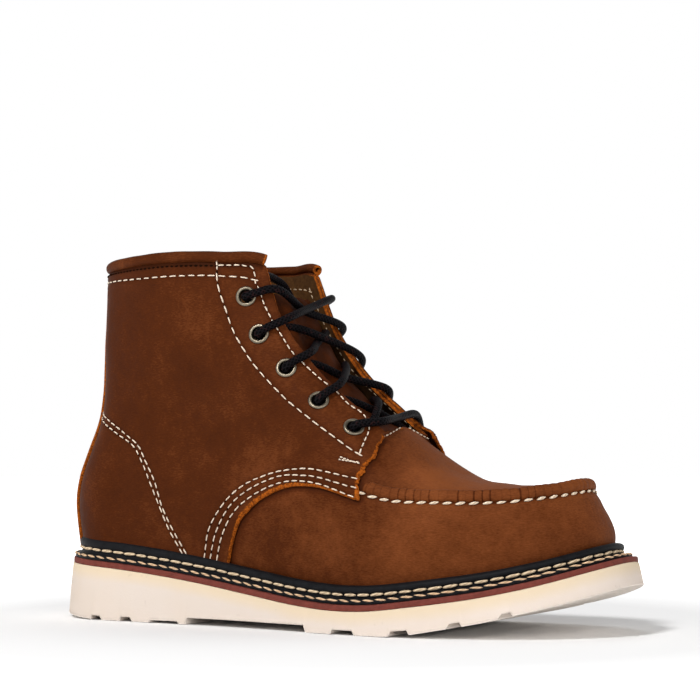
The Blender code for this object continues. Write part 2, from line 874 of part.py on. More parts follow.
def cut_holes(side, targets):
    for row in EYELETS:
        middle, axis, across, rise = eyelet_frame(row, side)
        bm = bmesh.new()
        ends = []
        for height in (-HOLE_REACH, HOLE_REACH):
            ring = round_ring(middle, axis, across, rise, HOLE_RADIUS, height, HOLE_SIDES)
            ends.append([bm.verts.new(p) for p in ring])
        for k in range(HOLE_SIDES):
            n = (k + 1) % HOLE_SIDES
            bm.faces.new((ends[0][k], ends[0][n], ends[1][n], ends[1][k]))
        bm.faces.new(list(reversed(ends[0])))
        bm.faces.new(ends[1])
        drill = publish("drill", bm, material("aged metal", METAL, 0.4, 1.0))
        for target in targets:
            cut(target, drill)
        bpy.data.objects.remove(drill, do_unlink=True)


# lace

LACE_SIDES = 6
LACE_STEPS = 10
EDGE_SEARCH = 60
LACE_CLEAR = 1.0
OVER_EYELET = EYELET_LIFT + EYELET_FLANGE + LACE_CLEAR + LACE_RADIUS
OVER_EDGE = QUARTER_LIFT + 1.5 * LACE_CLEAR + LACE_RADIUS
UNDER_EDGE = -1.0
EDGE_CLEAR = 5.0


def edge_point(row, side, height):
    """Point over the throat edge nearest to an eyelet."""
    middle = eyelet_frame(row, side)[0]
    turns = [throat_turn(i / EDGE_SEARCH) for i in range(EDGE_SEARCH + 1)]
    turn = min(turns, key=lambda t: (skin(t, 1.0, side) - middle).length)
    return raised(turn, 1.0, side, height)


def lace_path(start, end, side, reaches):
    """Way of a lace from its eyelet across the throat."""
    far = -side
    middle, axis, _, _ = eyelet_frame(start, side)
    near_edge = edge_point(start, side, OVER_EDGE)
    far_edge = edge_point(end, far, OVER_EDGE if reaches else UNDER_EDGE)
    path = [middle + axis * OVER_EYELET, near_edge]
    path.append(near_edge.lerp(far_edge, 0.5) + LACE_ARCH)
    if reaches:
        last, last_axis, _, _ = eyelet_frame(end, far)
        path += [far_edge, last + last_axis * OVER_EYELET]
    else:
        inside = near_edge.lerp(far_edge, 1 - EDGE_CLEAR / (near_edge - far_edge).length)
        path.append(inside)
    keys = [0.0]
    for a, b in zip(path, path[1:]):
        keys.append(keys[-1] + (b - a).length)
    smooth = []
    for i in range(LACE_STEPS + 1):
        at = keys[-1] * i / LACE_STEPS
        smooth.append(Vector([curve(keys, [p[axis] for p in path], at) for axis in range(3)]))
    return smooth


LACE_ARCH = Vector((1.2, 0.0, 1.2))


def make_lace():
    black = material("black cord", BLACK, 0.8)
    for number in range(1, len(EYELETS)):
        upper_row, lower_row = EYELETS[number - 1], EYELETS[number]
        pair = []
        for side in (LATERAL, MEDIAL):
            path = lace_path(lower_row, upper_row, side, number == 1)
            rings = tube(path, LACE_RADIUS, LACE_SIDES, [Vector((0.7, 0.0, 0.7))] * len(path))
            pair.append(swept(f"lace_cross_{number}" if not pair else "lace_second", rings, black))
        step = pair[0].modifiers.new("join", "BOOLEAN")
        step.operation = "UNION"
        step.solver = "EXACT"
        step.object = pair[1]
        apply_steps(pair[0])
        bpy.data.objects.remove(pair[1], do_unlink=True)


def clear_scene():
    for found in list(bpy.data.objects):
        bpy.data.objects.remove(found, do_unlink=True)


clear_scene()
make_sole()
make_welt()
upper = make_upper()
for name, side in (("lateral", LATERAL), ("medial", MEDIAL)):
    quarter = make_quarter("quarter_" + name, side)
    cut_holes(side, (upper, quarter))
    make_eyelets(side, name)
make_backstay()
make_collar()
make_rim()
make_tongue()
make_lace()
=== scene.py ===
import math

import bmesh
import bpy
import numpy as np
from mathutils.kdtree import KDTree
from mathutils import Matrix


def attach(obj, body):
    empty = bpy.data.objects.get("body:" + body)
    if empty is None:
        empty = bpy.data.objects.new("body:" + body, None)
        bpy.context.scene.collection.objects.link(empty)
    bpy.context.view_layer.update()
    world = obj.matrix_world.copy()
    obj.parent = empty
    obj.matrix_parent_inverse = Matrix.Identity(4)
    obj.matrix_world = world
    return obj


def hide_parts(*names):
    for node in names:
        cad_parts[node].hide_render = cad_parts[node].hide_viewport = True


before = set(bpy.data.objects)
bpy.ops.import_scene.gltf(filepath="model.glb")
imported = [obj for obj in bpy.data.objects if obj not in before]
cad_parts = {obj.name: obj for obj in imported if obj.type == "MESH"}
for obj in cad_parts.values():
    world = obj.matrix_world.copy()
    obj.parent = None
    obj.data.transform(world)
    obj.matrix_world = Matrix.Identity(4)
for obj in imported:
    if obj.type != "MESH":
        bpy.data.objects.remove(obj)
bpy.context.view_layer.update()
print("frame loaded with", len(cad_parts), "solids")

mm = 0.001
lateral, medial = -1, 1
upward = np.array([0.0, 0.0, 1.0])

# sizes of the boot in millimetres, close to those of its solids
boot = {
    "soleLength": 300.2,
    "heelEnd": -151.3,
    "flare": 2.2,
    "axisY": 3.6,
    "heelRound": 37.0,
    "toeRound": 50.0,
    "toePower": 2.15,
    "midsoleThick": 2.6,
    "gap": 0.3,
    "heelInset": 8.0,
    "toeInset": 13.0,
    "wall": 2.0,
    "panelLift": 2.1,
}
centreX = boot["heelEnd"] + boot["soleLength"] / 2


def table(names, rows):
    return dict(zip(names.split(), np.array(rows, float).T))


bottomPattern = table("share swing half", [
    (0.000, 0.0, 37.0),
    (0.125, 0.0, 37.0),
    (0.200, -0.6, 37.6),
    (0.300, -2.2, 38.3),
    (0.400, -4.2, 40.0),
    (0.500, -5.8, 44.2),
    (0.600, -5.8, 49.6),
    (0.680, -4.7, 52.7),
    (0.750, -3.2, 53.2),
    (0.820, -1.4, 51.6),
    (0.900, 0.8, 49.0),
    (1.000, 3.0, 46.0),
])
tread = table("x z", [
    (-153.5, 2.4), (-135, 1.0), (-118, 0), (-60, 0), (0, 0), (52, 0), (64, 1.0),
    (77, 3.2), (99, 7.4), (115, 11.4), (130, 15.4), (143, 19.6), (153.5, 23.6),
])
treadCorners = {2: 1.0, 5: 1.0}
wedge = table("x z", [
    (-153.5, 28.3), (-137, 27.5), (-98, 24.7), (-54, 19.7), (-24, 15.4), (7, 11.5), (24, 10.4),
    (38, 10.5), (68, 13.8), (106, 20.1), (122, 24.0), (136, 28.4), (145, 31.6), (153.5, 35.0),
])
grooves = table("start end depth", [
    (-122, -114.5, 2.0), (-103.5, -95.5, 2.0), (-85.5, -66.5, 1.2), (-62.5, 11, 3.2),
    (25.5, 38.5, 2.0), (56.5, 66.5, 2.2), (84, 91, 2.0), (107, 113, 1.8),
])
# sections of the upper from the heel's back to the toe's tip
sections = table(
    "foot bulgeOut bulgeUp midX midHalf midZ highX highHalf highZ topX topHalf topZ swing crease", [
        (-143.3, 2.4, 32, -132.6, 0, 104, -129.8, 0, 141, -128.6, 0, 175, 0, 0),
        (-131, 2.9, 32, -121, 22.2, 104, -118, 24.5, 141, -116, 25.6, 175, 0, 0),
        (-108, 3.5, 32, -102, 27.8, 102, -96.5, 32.6, 140, -94.5, 36.2, 175.6, 0, 0),
        (-70, 4.0, 32, -72, 30.5, 99, -70, 35.5, 139, -69, 39.0, 176, 0, 0),
        (-35, 4.0, 30, -46, 34.0, 94, -46, 36.3, 136, -46, 36.0, 175, 0, 0),
        (-10, 4.0, 28, -20, 38.0, 87, -30, 36.0, 130, -27, 25.5, 173.5, 0, 0),
        (3, 3.9, 27.4, -6.8, 39.7, 82.8, -17, 35.7, 120.5, -17, 26.8, 147, -0.4, 0),
        (15, 3.8, 27, 6, 41.0, 78, -2, 35.5, 109, -0.8, 25.0, 125, -1.0, 0),
        (38, 3.6, 26, 34, 43.2, 65, 35.5, 36.2, 81.4, 37.2, 23.5, 92, -2.4, 0.3),
        (52, 3.6, 26, 47, 43.2, 61.5, 44, 27.0, 81.5, 36, 0, 95.5, -2.8, 0.6),
        (78, 3.4, 25, 75, 42.0, 60, 70, 25.0, 69.2, 64, 0, 74.5, -2.4, 0.8),
        (104, 3.2, 22, 101, 37.5, 60.3, 95, 23.0, 66.0, 87, 0, 68.5, -0.8, 0.8),
        (124, 2.8, 18, 118.8, 25.6, 62.4, 112, 16.0, 66.4, 102, 0, 67.6, 1.0, 0.8),
        (135.9, 2.2, 13, 128.8, 0, 65.2, 123, 0, 67.2, 113, 0, 67.5, 2.4, 0.8),
    ])
collarFront, throatCorner, throatEnd = 5, 8, 9
topCorners = {collarFront: 0.8, throatCorner: 1.0, throatEnd: 1.0}
levels = np.array([0.0, 0.22, 0.5, 0.75, 1.0])


def smoothCurve(keys, values, at, corners=None, flatEnds=False):
    keys, values = np.asarray(keys, float), np.asarray(values, float)
    at = np.clip(np.asarray(at, float), keys[0], keys[-1])
    i = np.clip(np.searchsorted(keys, at, side="left") - 1, 0, len(keys) - 2)
    gaps = np.diff(keys)
    secants = np.diff(values) / gaps
    inner = (secants[:-1] * gaps[1:] + secants[1:] * gaps[:-1]) / (gaps[:-1] + gaps[1:])
    first, last = (0.0, 0.0) if flatEnds else (secants[0], secants[-1])
    leave = np.concatenate([[first], inner, [last]])
    arrive = leave.copy()
    for knot, sharp in (corners or {}).items():
        leave[knot] += (secants[knot] - leave[knot]) * sharp
        arrive[knot] += (secants[knot - 1] - arrive[knot]) * sharp
    u = (at - keys[i]) / gaps[i]
    return (
        values[i] * (1 + 2 * u) * (1 - u) ** 2
        + leave[i] * gaps[i] * u * (1 - u) ** 2
        + values[i + 1] * u * u * (3 - 2 * u)
        + arrive[i + 1] * gaps[i] * u * u * (u - 1)
    )


def smoothStep(low, high, at):
    u = np.clip((np.asarray(at, float) - low) / (high - low), 0, 1)
    return u * u * (3 - 2 * u)


def outline(share, side, offset):
    share = np.asarray(share, float)
    length = boot["soleLength"] + 2 * offset
    x = boot["heelEnd"] - offset + share * length
    half = smoothCurve(bottomPattern["share"], bottomPattern["half"], share) + offset
    heel, toe = boot["heelRound"] + offset, boot["toeRound"] + offset
    back = np.clip(1 - share * length / heel, 0, 1)
    front = np.clip(1 - (1 - share) * length / toe, 0, 1)
    half = half * np.sqrt(1 - back ** 2)
    half = half * (1 - front ** boot["toePower"]) ** (1 / boot["toePower"])
    swing = smoothCurve(bottomPattern["share"], bottomPattern["swing"], share)
    return x, boot["axisY"] + swing + side * half


def turnShare(turn):
    return (1 - np.cos(np.pi * np.asarray(turn, float))) / 2


def wedgeTop(x):
    return smoothCurve(wedge["x"], wedge["z"], x)


def treadFloor(x):
    return smoothCurve(tread["x"], tread["z"], x, treadCorners)


def midsoleTop(x):
    return wedgeTop(x) + boot["gap"] + boot["midsoleThick"]


def feather(turn, side, out=0.0):
    share = turnShare(turn)
    inset = boot["heelInset"] + (boot["toeInset"] - boot["heelInset"]) * share
    x, y = outline(share, side, out - inset)
    return np.stack([x, y, midsoleTop(x) + boot["gap"]], -1)


def footTurn(x):
    low, high = 0.0, 1.0
    for _ in range(40):
        turn = (low + high) / 2
        if feather(turn, lateral)[0] < x:
            low = turn
        else:
            high = turn
    return (low + high) / 2


turns = np.array([footTurn(x) for x in sections["foot"]])
turns[0], turns[-1] = 0.0, 1.0
throatTurn, closedTurn, collarTurn = turns[throatCorner], turns[throatEnd], turns[collarFront]


def sectionColumn(name, turn, corners=None, flatEnds=True):
    return smoothCurve(turns, sections[name], turn, corners, flatEnds)


def skin(turn, climb, side):
    turn, climb, side = [np.asarray(a, float) for a in np.broadcast_arrays(turn, climb, side)]
    shape = turn.shape
    turn, climb, side = turn.ravel(), np.clip(climb.ravel(), 0, 1), side.ravel()
    foot = feather(turn, side)
    bulge = feather(turn, side, sectionColumn("bulgeOut", turn))
    bulge[:, 2] = foot[:, 2] + sectionColumn("bulgeUp", turn)
    points = [foot, bulge]
    middle = boot["axisY"] + sectionColumn("swing", turn)
    for level, corners in (("mid", None), ("high", None), ("top", topCorners)):
        half = sectionColumn(level + "Half", turn, corners, False)
        x = sectionColumn(level + "X", turn, corners)
        z = sectionColumn(level + "Z", turn, corners)
        points.append(np.stack([x, middle + side * half, z], -1))
    points = np.stack(points, 1)
    crease = sectionColumn("crease", turn)[:, None]
    openShare = 1 - np.clip((turn - throatTurn) / (closedTurn - throatTurn), 0, 1)
    gaps = np.diff(levels)
    secants = np.diff(points, axis=1) / gaps[None, :, None]
    leave = np.empty_like(points)
    leave[:, 0] = secants[:, 0]
    leave[:, 4] = secants[:, 3] * np.stack([openShare, np.ones_like(openShare), openShare], -1)
    for k in (1, 2, 3):
        leave[:, k] = secants[:, k - 1] * gaps[k] + secants[:, k] * gaps[k - 1]
        leave[:, k] /= gaps[k - 1] + gaps[k]
    arrive = leave.copy()
    leave[:, 2] += (secants[:, 2] - leave[:, 2]) * crease
    arrive[:, 2] += (secants[:, 1] - arrive[:, 2]) * crease
    i = np.clip(np.searchsorted(levels, climb, side="left") - 1, 0, 3)
    n = np.arange(len(turn))
    u = ((climb - levels[i]) / gaps[i])[:, None]
    span = gaps[i][:, None]
    found = (
        points[n, i] * (1 + 2 * u) * (1 - u) ** 2
        + leave[n, i] * span * u * (1 - u) ** 2
        + points[n, i + 1] * u * u * (3 - 2 * u)
        + arrive[n, i + 1] * span * u * u * (u - 1)
    )
    return found.reshape(shape + (3,))


# one way round the boot: 0 heel back, 0 to 1 outer side, 1 toe tip, 1 to 2 inner side
def foldTurn(way):
    return np.where(way <= 1, way, 2 - way)


def foldSide(way):
    return np.where(way <= 1, lateral, medial)


def ringSkin(way, climb):
    way = np.mod(way, 2.0)
    return skin(foldTurn(way), climb, foldSide(way))


def unit(v):
    return v / np.maximum(np.linalg.norm(v, axis=-1, keepdims=True), 1e-12)


def runAlong(points):
    # length of a path up to each of its points
    return np.concatenate([[0], np.cumsum(np.linalg.norm(np.diff(points, axis=0), axis=1))])


def ringNormal(way, climb, step=0.004):
    climb = np.asarray(climb, float)
    along = ringSkin(way + step, climb) - ringSkin(way - step, climb)
    rise = ringSkin(way, np.minimum(climb + step, 1)) - ringSkin(way, np.maximum(climb - step, 0))
    return unit(np.cross(along, rise))


def raised(way, climb, height):
    height = np.asarray(height, float)
    return ringSkin(way, climb) + ringNormal(way, climb) * height[..., None]


def sideWay(turn, side):
    return turn if side == lateral else 2 - turn


def sidePlaces(places, side):
    # turn and climb of points given by their x and z in the side view
    places = np.asarray(places, float)
    grid = np.stack(np.meshgrid(np.linspace(0, 1, 141), np.linspace(0, 1, 91), indexing="ij"), -1)
    grid = grid.reshape(-1, 2)
    seen = skin(grid[:, 0], grid[:, 1], side)[:, [0, 2]]
    miss = ((seen[None] - places[:, None]) ** 2).sum(-1)
    best = grid[miss.argmin(1)]
    moves = np.array([(a, b) for a in (-1, 0, 1) for b in (-1, 0, 1)], float)
    for reach in np.repeat(1 / 140 / 2.0 ** np.arange(11), 4):
        tries = np.clip(best[:, None] + moves[None] * reach, 0, 1)
        seen = skin(tries[..., 0], tries[..., 1], side)[..., [0, 2]]
        pick = ((seen - places[:, None]) ** 2).sum(-1).argmin(1)
        best = tries[np.arange(len(places)), pick]
    return best[:, 0], best[:, 1]


def toFrame(points):
    return (np.asarray(points, float) - (centreX, 0, 0)) * mm


def ripple(points, size, seed):
    # soft unevenness of hand-worked leather, from a few waves
    rng = np.random.default_rng(seed)
    waves = 7
    total = np.zeros(points.shape[:-1])
    for _ in range(waves):
        wave = unit(rng.normal(size=3)) * rng.uniform(0.6, 1.5) * 2 * np.pi / size
        total += np.sin(points @ wave + rng.uniform(0, 6.28))
    return total / waves


# materials

shaderInputs = {
    "colour": "Base Color",
    "rough": "Roughness",
    "shine": "Specular IOR Level",
    "metallic": "Metallic",
    "normal": "Normal",
    "glow": "Emission Strength",
    "glowColour": "Emission Color",
}


def newLook(name):
    look = bpy.data.materials.new(name)
    look.use_nodes = True
    return look, look.node_tree, look.node_tree.nodes["Principled BSDF"]


def plug(tree, socket, value):
    # links a socket, or sets a plain value on the input itself
    if isinstance(value, bpy.types.NodeSocket):
        tree.links.new(value, socket)
    else:
        socket.default_value = value


def dress(tree, shader, **parts):
    for key, value in parts.items():
        plug(tree, shader.inputs[shaderInputs[key]], value)


def node(tree, kind, settings=None, **inputs):
    # an input goes by its name, or by its number as i0, i1 and so on
    made = tree.nodes.new(kind)
    for key, value in (settings or {}).items():
        setattr(made, key, value)
    for key, value in inputs.items():
        numbered = key[0] == "i" and key[1:].isdigit()
        plug(tree, made.inputs[int(key[1:]) if numbered else key], value)
    return made


def objectPlace(tree, scale=(1, 1, 1)):
    place = node(tree, "ShaderNodeTexCoord").outputs["Object"]
    return node(tree, "ShaderNodeMapping", Vector=place, Scale=scale).outputs["Vector"]


def noise(tree, place, scale, detail=3.0, rough=0.55):
    made = node(tree, "ShaderNodeTexNoise", Vector=place, Scale=scale, Detail=detail, Roughness=rough)
    return made.outputs["Fac"]


def remap(tree, value, low, high, toLow=0.0, toHigh=1.0):
    made = node(tree, "ShaderNodeMapRange", i0=value, i1=low, i2=high, i3=toLow, i4=toHigh)
    return made.outputs[0]


def spread(tree, value, low, high, amount, middle=0.0):
    return remap(tree, value, low, high, middle - amount, middle + amount)


def math2(tree, operation, a, b=0.0):
    return node(tree, "ShaderNodeMath", {"operation": operation}, i0=a, i1=b).outputs[0]


def added(tree, total, *others):
    for other in others:
        total = math2(tree, "ADD", total, other)
    return total


def times(tree, a, b):
    return math2(tree, "MULTIPLY", a, b)


def mixColour(tree, share, a, b):
    made = node(tree, "ShaderNodeMix", {"data_type": "RGBA", "blend_type": "MIX"}, i0=share, i6=a, i7=b)
    return made.outputs[2]


def attribute(tree, name):
    return node(tree, "ShaderNodeAttribute", {"attribute_name": name}).outputs["Fac"]


def ownPlace(tree, name):
    place = node(tree, "ShaderNodeAttribute", {"attribute_name": name}).outputs["Vector"]
    return node(tree, "ShaderNodeSeparateXYZ", Vector=place).outputs


def bump(tree, height, strength, distance, under=None):
    made = node(tree, "ShaderNodeBump", Height=height, Strength=strength, Distance=distance)
    if under is not None:
        plug(tree, made.inputs["Normal"], under)
    return made.outputs["Normal"]


# colours, then scales of the noises and how far each moves the tone
leather = {
    "dark": (0.028, 0.0062, 0.0013, 1),
    "base": (0.062, 0.0142, 0.0029, 1),
    "light": (0.190, 0.0540, 0.0150, 1),
    "raw": (0.370, 0.0900, 0.0085, 1),
    "rawDark": (0.120, 0.0270, 0.0040, 1),
    "blotch": 26.0,
    "blotchTone": 0.135,
    "mottle": 210.0,
    "mottleTone": 0.075,
    "fibre": 620.0,
    "fibreTone": 0.12,
    "fibreStretch": (1, 1, 3.5),
    "fuzz": 900.0,
    "fuzzEdge": 0.28,
    "grain": 1500.0,
    "rough": 0.62,
    "roughSpread": 0.09,
    "rawRough": 0.3,
    "shine": 0.03,
}


def leatherLook(name, lift=0.0):
    look, tree, shader = newLook(name)
    place = objectPlace(tree)
    blotch = noise(tree, place, leather["blotch"], 4.0, 0.6)
    mottle = noise(tree, place, leather["mottle"], 5.0, 0.65)
    fibre = noise(tree, objectPlace(tree, leather["fibreStretch"]), leather["fibre"], 3.0, 0.6)
    amount = added(
        tree, spread(tree, blotch, 0.3, 0.7, leather["blotchTone"]),
        spread(tree, mottle, 0.25, 0.75, leather["mottleTone"]),
        spread(tree, fibre, 0.3, 0.7, leather["fibreTone"]), attribute(tree, "tone"), lift)
    colour = mixColour(tree, remap(tree, amount, -0.5, 0.0), leather["dark"], leather["base"])
    colour = mixColour(tree, remap(tree, amount, 0.0, 0.6), colour, leather["light"])
    fuzz = noise(tree, place, leather["fuzz"], 4.0, 0.7)
    cutEdge = mixColour(tree, remap(tree, fuzz, 0.40, 0.62), leather["rawDark"], leather["raw"])
    raw = added(tree, attribute(tree, "raw"), spread(tree, fuzz, 0.2, 0.8, leather["fuzzEdge"]))
    edge = remap(tree, raw, 0.38, 0.62)
    rough = spread(tree, mottle, 0.25, 0.75, leather["roughSpread"], leather["rough"])
    pores = node(
        tree, "ShaderNodeTexVoronoi", {"feature": "SMOOTH_F1"}, Vector=place, Scale=leather["grain"])
    first = bump(tree, pores.outputs["Distance"], 0.22, 0.00022)
    second = bump(tree, mottle, 0.20, 0.0006, first)
    dress(
        tree, shader, colour=mixColour(tree, edge, colour, cutEdge),
        rough=added(tree, rough, times(tree, edge, leather["rawRough"])),
        normal=bump(tree, fuzz, 0.12, 0.0003, second), shine=leather["shine"])
    return look


suede = {
    "dark": (0.030, 0.0120, 0.0035, 1),
    "light": (0.110, 0.046, 0.0125, 1),
    "nap": 420.0,
    "patch": 55.0,
    "rough": 0.95,
    "shine": 0.1,
}


def suedeLook():
    look, tree, shader = newLook("brown suede lining")
    place = objectPlace(tree)
    nap = noise(tree, place, suede["nap"], 5.0, 0.7)
    patch = noise(tree, place, suede["patch"], 3.0)
    share = added(tree, remap(tree, nap, 0.3, 0.7, 0.0, 0.6), remap(tree, patch, 0.3, 0.7, 0.0, 0.4))
    dress(
        tree, shader, colour=mixColour(tree, share, suede["dark"], suede["light"]),
        normal=bump(tree, nap, 0.5, 0.0005), rough=suede["rough"], shine=suede["shine"])
    return look


foam = {
    "heel": (0.650, 0.566, 0.500, 1),
    "toe": (0.690, 0.598, 0.530, 1),
    "paintedLightUnder": (0.950, 0.870, 0.790, 1),
    "shade": (0.650, 0.540, 0.445, 1),
    "band": (0.670, 0.545, 0.395, 1),
    "dirtAndShade": (0.160, 0.100, 0.060, 1),
    "paintedLightHeelToToe": (-0.02, 0.11),
    "cloud": 32.0,
    "fine": 1100.0,
    "cells": 900.0,
    "speck": 240.0,
    "ribs": 85.0,
    "shine": 0.12,
}


def foamLook():
    look, tree, shader = newLook("cream foam rubber")
    place = objectPlace(tree)
    cloud = noise(tree, place, foam["cloud"], 4.0, 0.6)
    fine = noise(tree, place, foam["fine"], 3.0, 0.6)
    cells = node(tree, "ShaderNodeTexVoronoi", Vector=place, Scale=foam["cells"]).outputs["Distance"]
    # painted light: the foam is painted darker at the heel and lighter towards the toe
    ahead = node(tree, "ShaderNodeSeparateXYZ", Vector=place).outputs["X"]
    body = mixColour(tree, remap(tree, ahead, *foam["paintedLightHeelToToe"]), foam["heel"], foam["toe"])
    colour = mixColour(tree, remap(tree, cloud, 0.35, 0.75, 0.0, 0.55), body, foam["shade"])
    band = added(tree, attribute(tree, "band"), spread(tree, cloud, 0.3, 0.7, 0.12))
    colour = mixColour(tree, remap(tree, band, 0.10, 0.95), colour, foam["band"])
    speck = times(tree, remap(tree, noise(tree, place, foam["speck"], 2.0), 0.70, 0.78), 0.12)
    colour = mixColour(tree, speck, colour, foam["dirtAndShade"])
    # dirt at the bottom of the tread, and painted shade on the groove floors
    soil = times(tree, attribute(tree, "soil"), remap(tree, cloud, 0.3, 0.7, 0.35, 1.0))
    # painted light: the foam at the tread floor is painted much lighter
    under = attribute(tree, "under")
    colour = mixColour(tree, under, colour, foam["paintedLightUnder"])
    colour = mixColour(tree, soil, colour, foam["dirtAndShade"])
    ribs = node(
        tree, "ShaderNodeTexWave", {"wave_profile": "SIN", "bands_direction": "X"},
        Vector=place, Scale=foam["ribs"], Distortion=0.0)
    first = bump(tree, cells, 0.12, 0.0003)
    second = bump(tree, times(tree, ribs.outputs["Fac"], under), 0.8, 0.0008, first)
    dress(
        tree, shader, colour=colour, rough=remap(tree, fine, 0.3, 0.7, 0.68, 0.86),
        normal=bump(tree, fine, 0.15, 0.0003, second), shine=foam["shine"])
    return look


def rubberLook(name, dark, light, rough, scale=320.0, shine=0.16):
    look, tree, shader = newLook(name)
    place = objectPlace(tree)
    patch = noise(tree, place, scale, 4.0, 0.6)
    fine = noise(tree, place, 1500.0, 3.0)
    dress(
        tree, shader, colour=mixColour(tree, remap(tree, patch, 0.3, 0.72), dark, light),
        rough=spread(tree, patch, 0.3, 0.7, 0.08, rough),
        normal=bump(tree, fine, 0.25, 0.0003), shine=shine)
    return look


thread = {"twist": 5.0, "plies": 2.0, "fluff": 1300.0, "rough": 0.8, "shine": 0.12}


def threadLook(name, colour, shade):
    # the stitch's own place runs from -1 to 1 along it
    look, tree, shader = newLook(name)
    parts = ownPlace(tree, "threadPlace")
    angle = math2(tree, "ARCTAN2", parts["Z"], parts["Y"])
    turn = added(tree, times(tree, parts["X"], thread["twist"]), times(tree, angle, thread["plies"]))
    ply = remap(tree, math2(tree, "SINE", turn), -1.0, 1.0)
    fluff = noise(tree, objectPlace(tree), thread["fluff"], 3.0)
    # painted shade: the shade colour fills the grooves between the plies and darkens the stitch towards its
    # ends
    share = times(tree, ply, remap(tree, fluff, 0.25, 0.75, 0.55, 1.0))
    ends = remap(tree, math2(tree, "ABSOLUTE", parts["X"]), 0.62, 1.0, 1.0, 0.45)
    share = times(tree, added(tree, share, 0.45), ends)
    dress(
        tree, shader, colour=mixColour(tree, share, shade, colour),
        normal=bump(tree, ply, 0.35, 0.00025), rough=thread["rough"], shine=thread["shine"])
    return look


metal = {
    "bright": (0.205, 0.174, 0.128, 1),
    "aged": (0.070, 0.056, 0.039, 1),
    "patina": 380.0,
    "roughAged": 0.50,
    "roughBright": 0.30,
}


def metalLook():
    look, tree, shader = newLook("aged brass")
    patina = noise(tree, objectPlace(tree), metal["patina"], 5.0, 0.65)
    wear = times(tree, attribute(tree, "wear"), 0.6)
    wear = added(tree, remap(tree, patina, 0.3, 0.7, 0.0, 0.55), wear)
    dress(
        tree, shader, colour=mixColour(tree, wear, metal["aged"], metal["bright"]),
        rough=remap(tree, patina, 0.25, 0.75, metal["roughAged"], metal["roughBright"]),
        normal=bump(tree, patina, 0.12, 0.0002), metallic=1.0)
    return look


lace = {
    "radius": 1.95,
    "sides": 24,
    "step": 0.5,
    "strands": 6.0,
    "lay": 2.1,
    "black": (0.0010, 0.0009, 0.0011, 1),
    "fleck": (0.022, 0.0080, 0.0078, 1),
    "crestSheen": (0.0075, 0.0064, 0.0078, 1),
    "yarn": 2200.0,
    "flecks": 420.0,
    "rough": 0.48,
    "shine": 0.022,
}


def laceLook():
    # the lace's own place: cosine and sine round it, millimetres along it
    look, tree, shader = newLook("black braided lace")
    parts = ownPlace(tree, "lacePlace")
    roundIt = times(tree, math2(tree, "ARCTAN2", parts["Y"], parts["X"]), lace["strands"])
    along = times(tree, parts["Z"], 2 * math.pi / lace["lay"])
    right = math2(tree, "SINE", added(tree, roundIt, along))
    left = math2(tree, "SINE", math2(tree, "SUBTRACT", roundIt, along))
    braid = remap(tree, math2(tree, "MAXIMUM", right, left), -0.4, 1.0)
    yarn = noise(tree, objectPlace(tree), lace["yarn"], 2.0)
    # painted highlight: the crests of the braid's strands are painted lighter
    colour = mixColour(tree, remap(tree, braid, 0.3, 1.0), lace["black"], lace["crestSheen"])
    fleck = remap(tree, noise(tree, objectPlace(tree), lace["flecks"], 2.0), 0.56, 0.66)
    colour = mixColour(tree, times(tree, fleck, braid), colour, lace["fleck"])
    first = bump(tree, braid, 0.7, 0.0004)
    dress(
        tree, shader, colour=colour, normal=bump(tree, yarn, 0.2, 0.0002, first),
        rough=lace["rough"], shine=lace["shine"])
    return look


looks = {
    "leather": leatherLook("oiled brown leather"),
    # painted light: the toe leather is the same leather painted lighter
    "litToeLeather": leatherLook("oiled brown toe leather with painted light", 0.24),
    # painted shade: the tongue leather is the same leather painted darker
    "tongueLeather": leatherLook("brown tongue leather with painted shade", -0.26),
    "suede": suedeLook(),
    "foam": foamLook(),
    "midsole": rubberLook(
        "red brown rubber", (0.115, 0.025, 0.017, 1), (0.180, 0.042, 0.030, 1), 0.75),
    "welt": rubberLook(
        "black rubber welt", (0.0042, 0.0044, 0.0054, 1), (0.0095, 0.0098, 0.0115, 1), 0.55, shine=0.09),
    "insole": rubberLook(
        "tan insole leather", (0.085, 0.040, 0.016, 1), (0.150, 0.078, 0.034, 1), 0.85, scale=120.0),
    "upperThread": threadLook("pale upper thread", (0.79, 0.67, 0.54, 1), (0.30, 0.18, 0.10, 1)),
    "mocThread": threadLook("pale toe seam thread", (0.72, 0.60, 0.46, 1), (0.32, 0.20, 0.11, 1)),
    "weltThread": threadLook("cream welt thread", (0.70, 0.55, 0.37, 1), (0.28, 0.17, 0.09, 1)),
    "weltThreadWarm": threadLook("warm welt thread", (0.72, 0.50, 0.31, 1), (0.30, 0.16, 0.08, 1)),
    "liningThread": threadLook("tan lining thread", (0.56, 0.42, 0.28, 1), (0.22, 0.13, 0.07, 1)),
    "needleHoleShade": rubberLook(
        "needle hole painted shade", (0.006, 0.0025, 0.0012, 1), (0.012, 0.005, 0.003, 1), 0.9, shine=0.0),
    "metal": metalLook(),
    "lace": laceLook(),
}
print("materials made:", len(looks))


# meshes

def gridFaces(rows, cols, start=0, wrap=False, flip=False):
    i = np.arange(rows if wrap else rows - 1)
    j = np.arange(cols - 1)
    a = i[:, None] * cols + j
    b = ((i + 1) % rows)[:, None] * cols + j
    quads = np.stack([a, b, b + 1, a + 1], -1).reshape(-1, 4) + start
    return quads[:, ::-1] if flip else quads


def tubeFaces(rows, cols, ringed=False, flip=False):
    # closed rings one after the other, or a ring of them
    i, j = np.meshgrid(np.arange(rows if ringed else rows - 1), np.arange(cols), indexing="ij")
    k, n = (i + 1) % rows, (j + 1) % cols
    quads = np.stack([i * cols + j, i * cols + n, k * cols + n, k * cols + j], -1).reshape(-1, 4)
    return quads[:, [0, 3, 2, 1]] if flip else quads


def linked(name, data):
    made = bpy.data.objects.new(name, data)
    bpy.context.collection.objects.link(made)
    return made


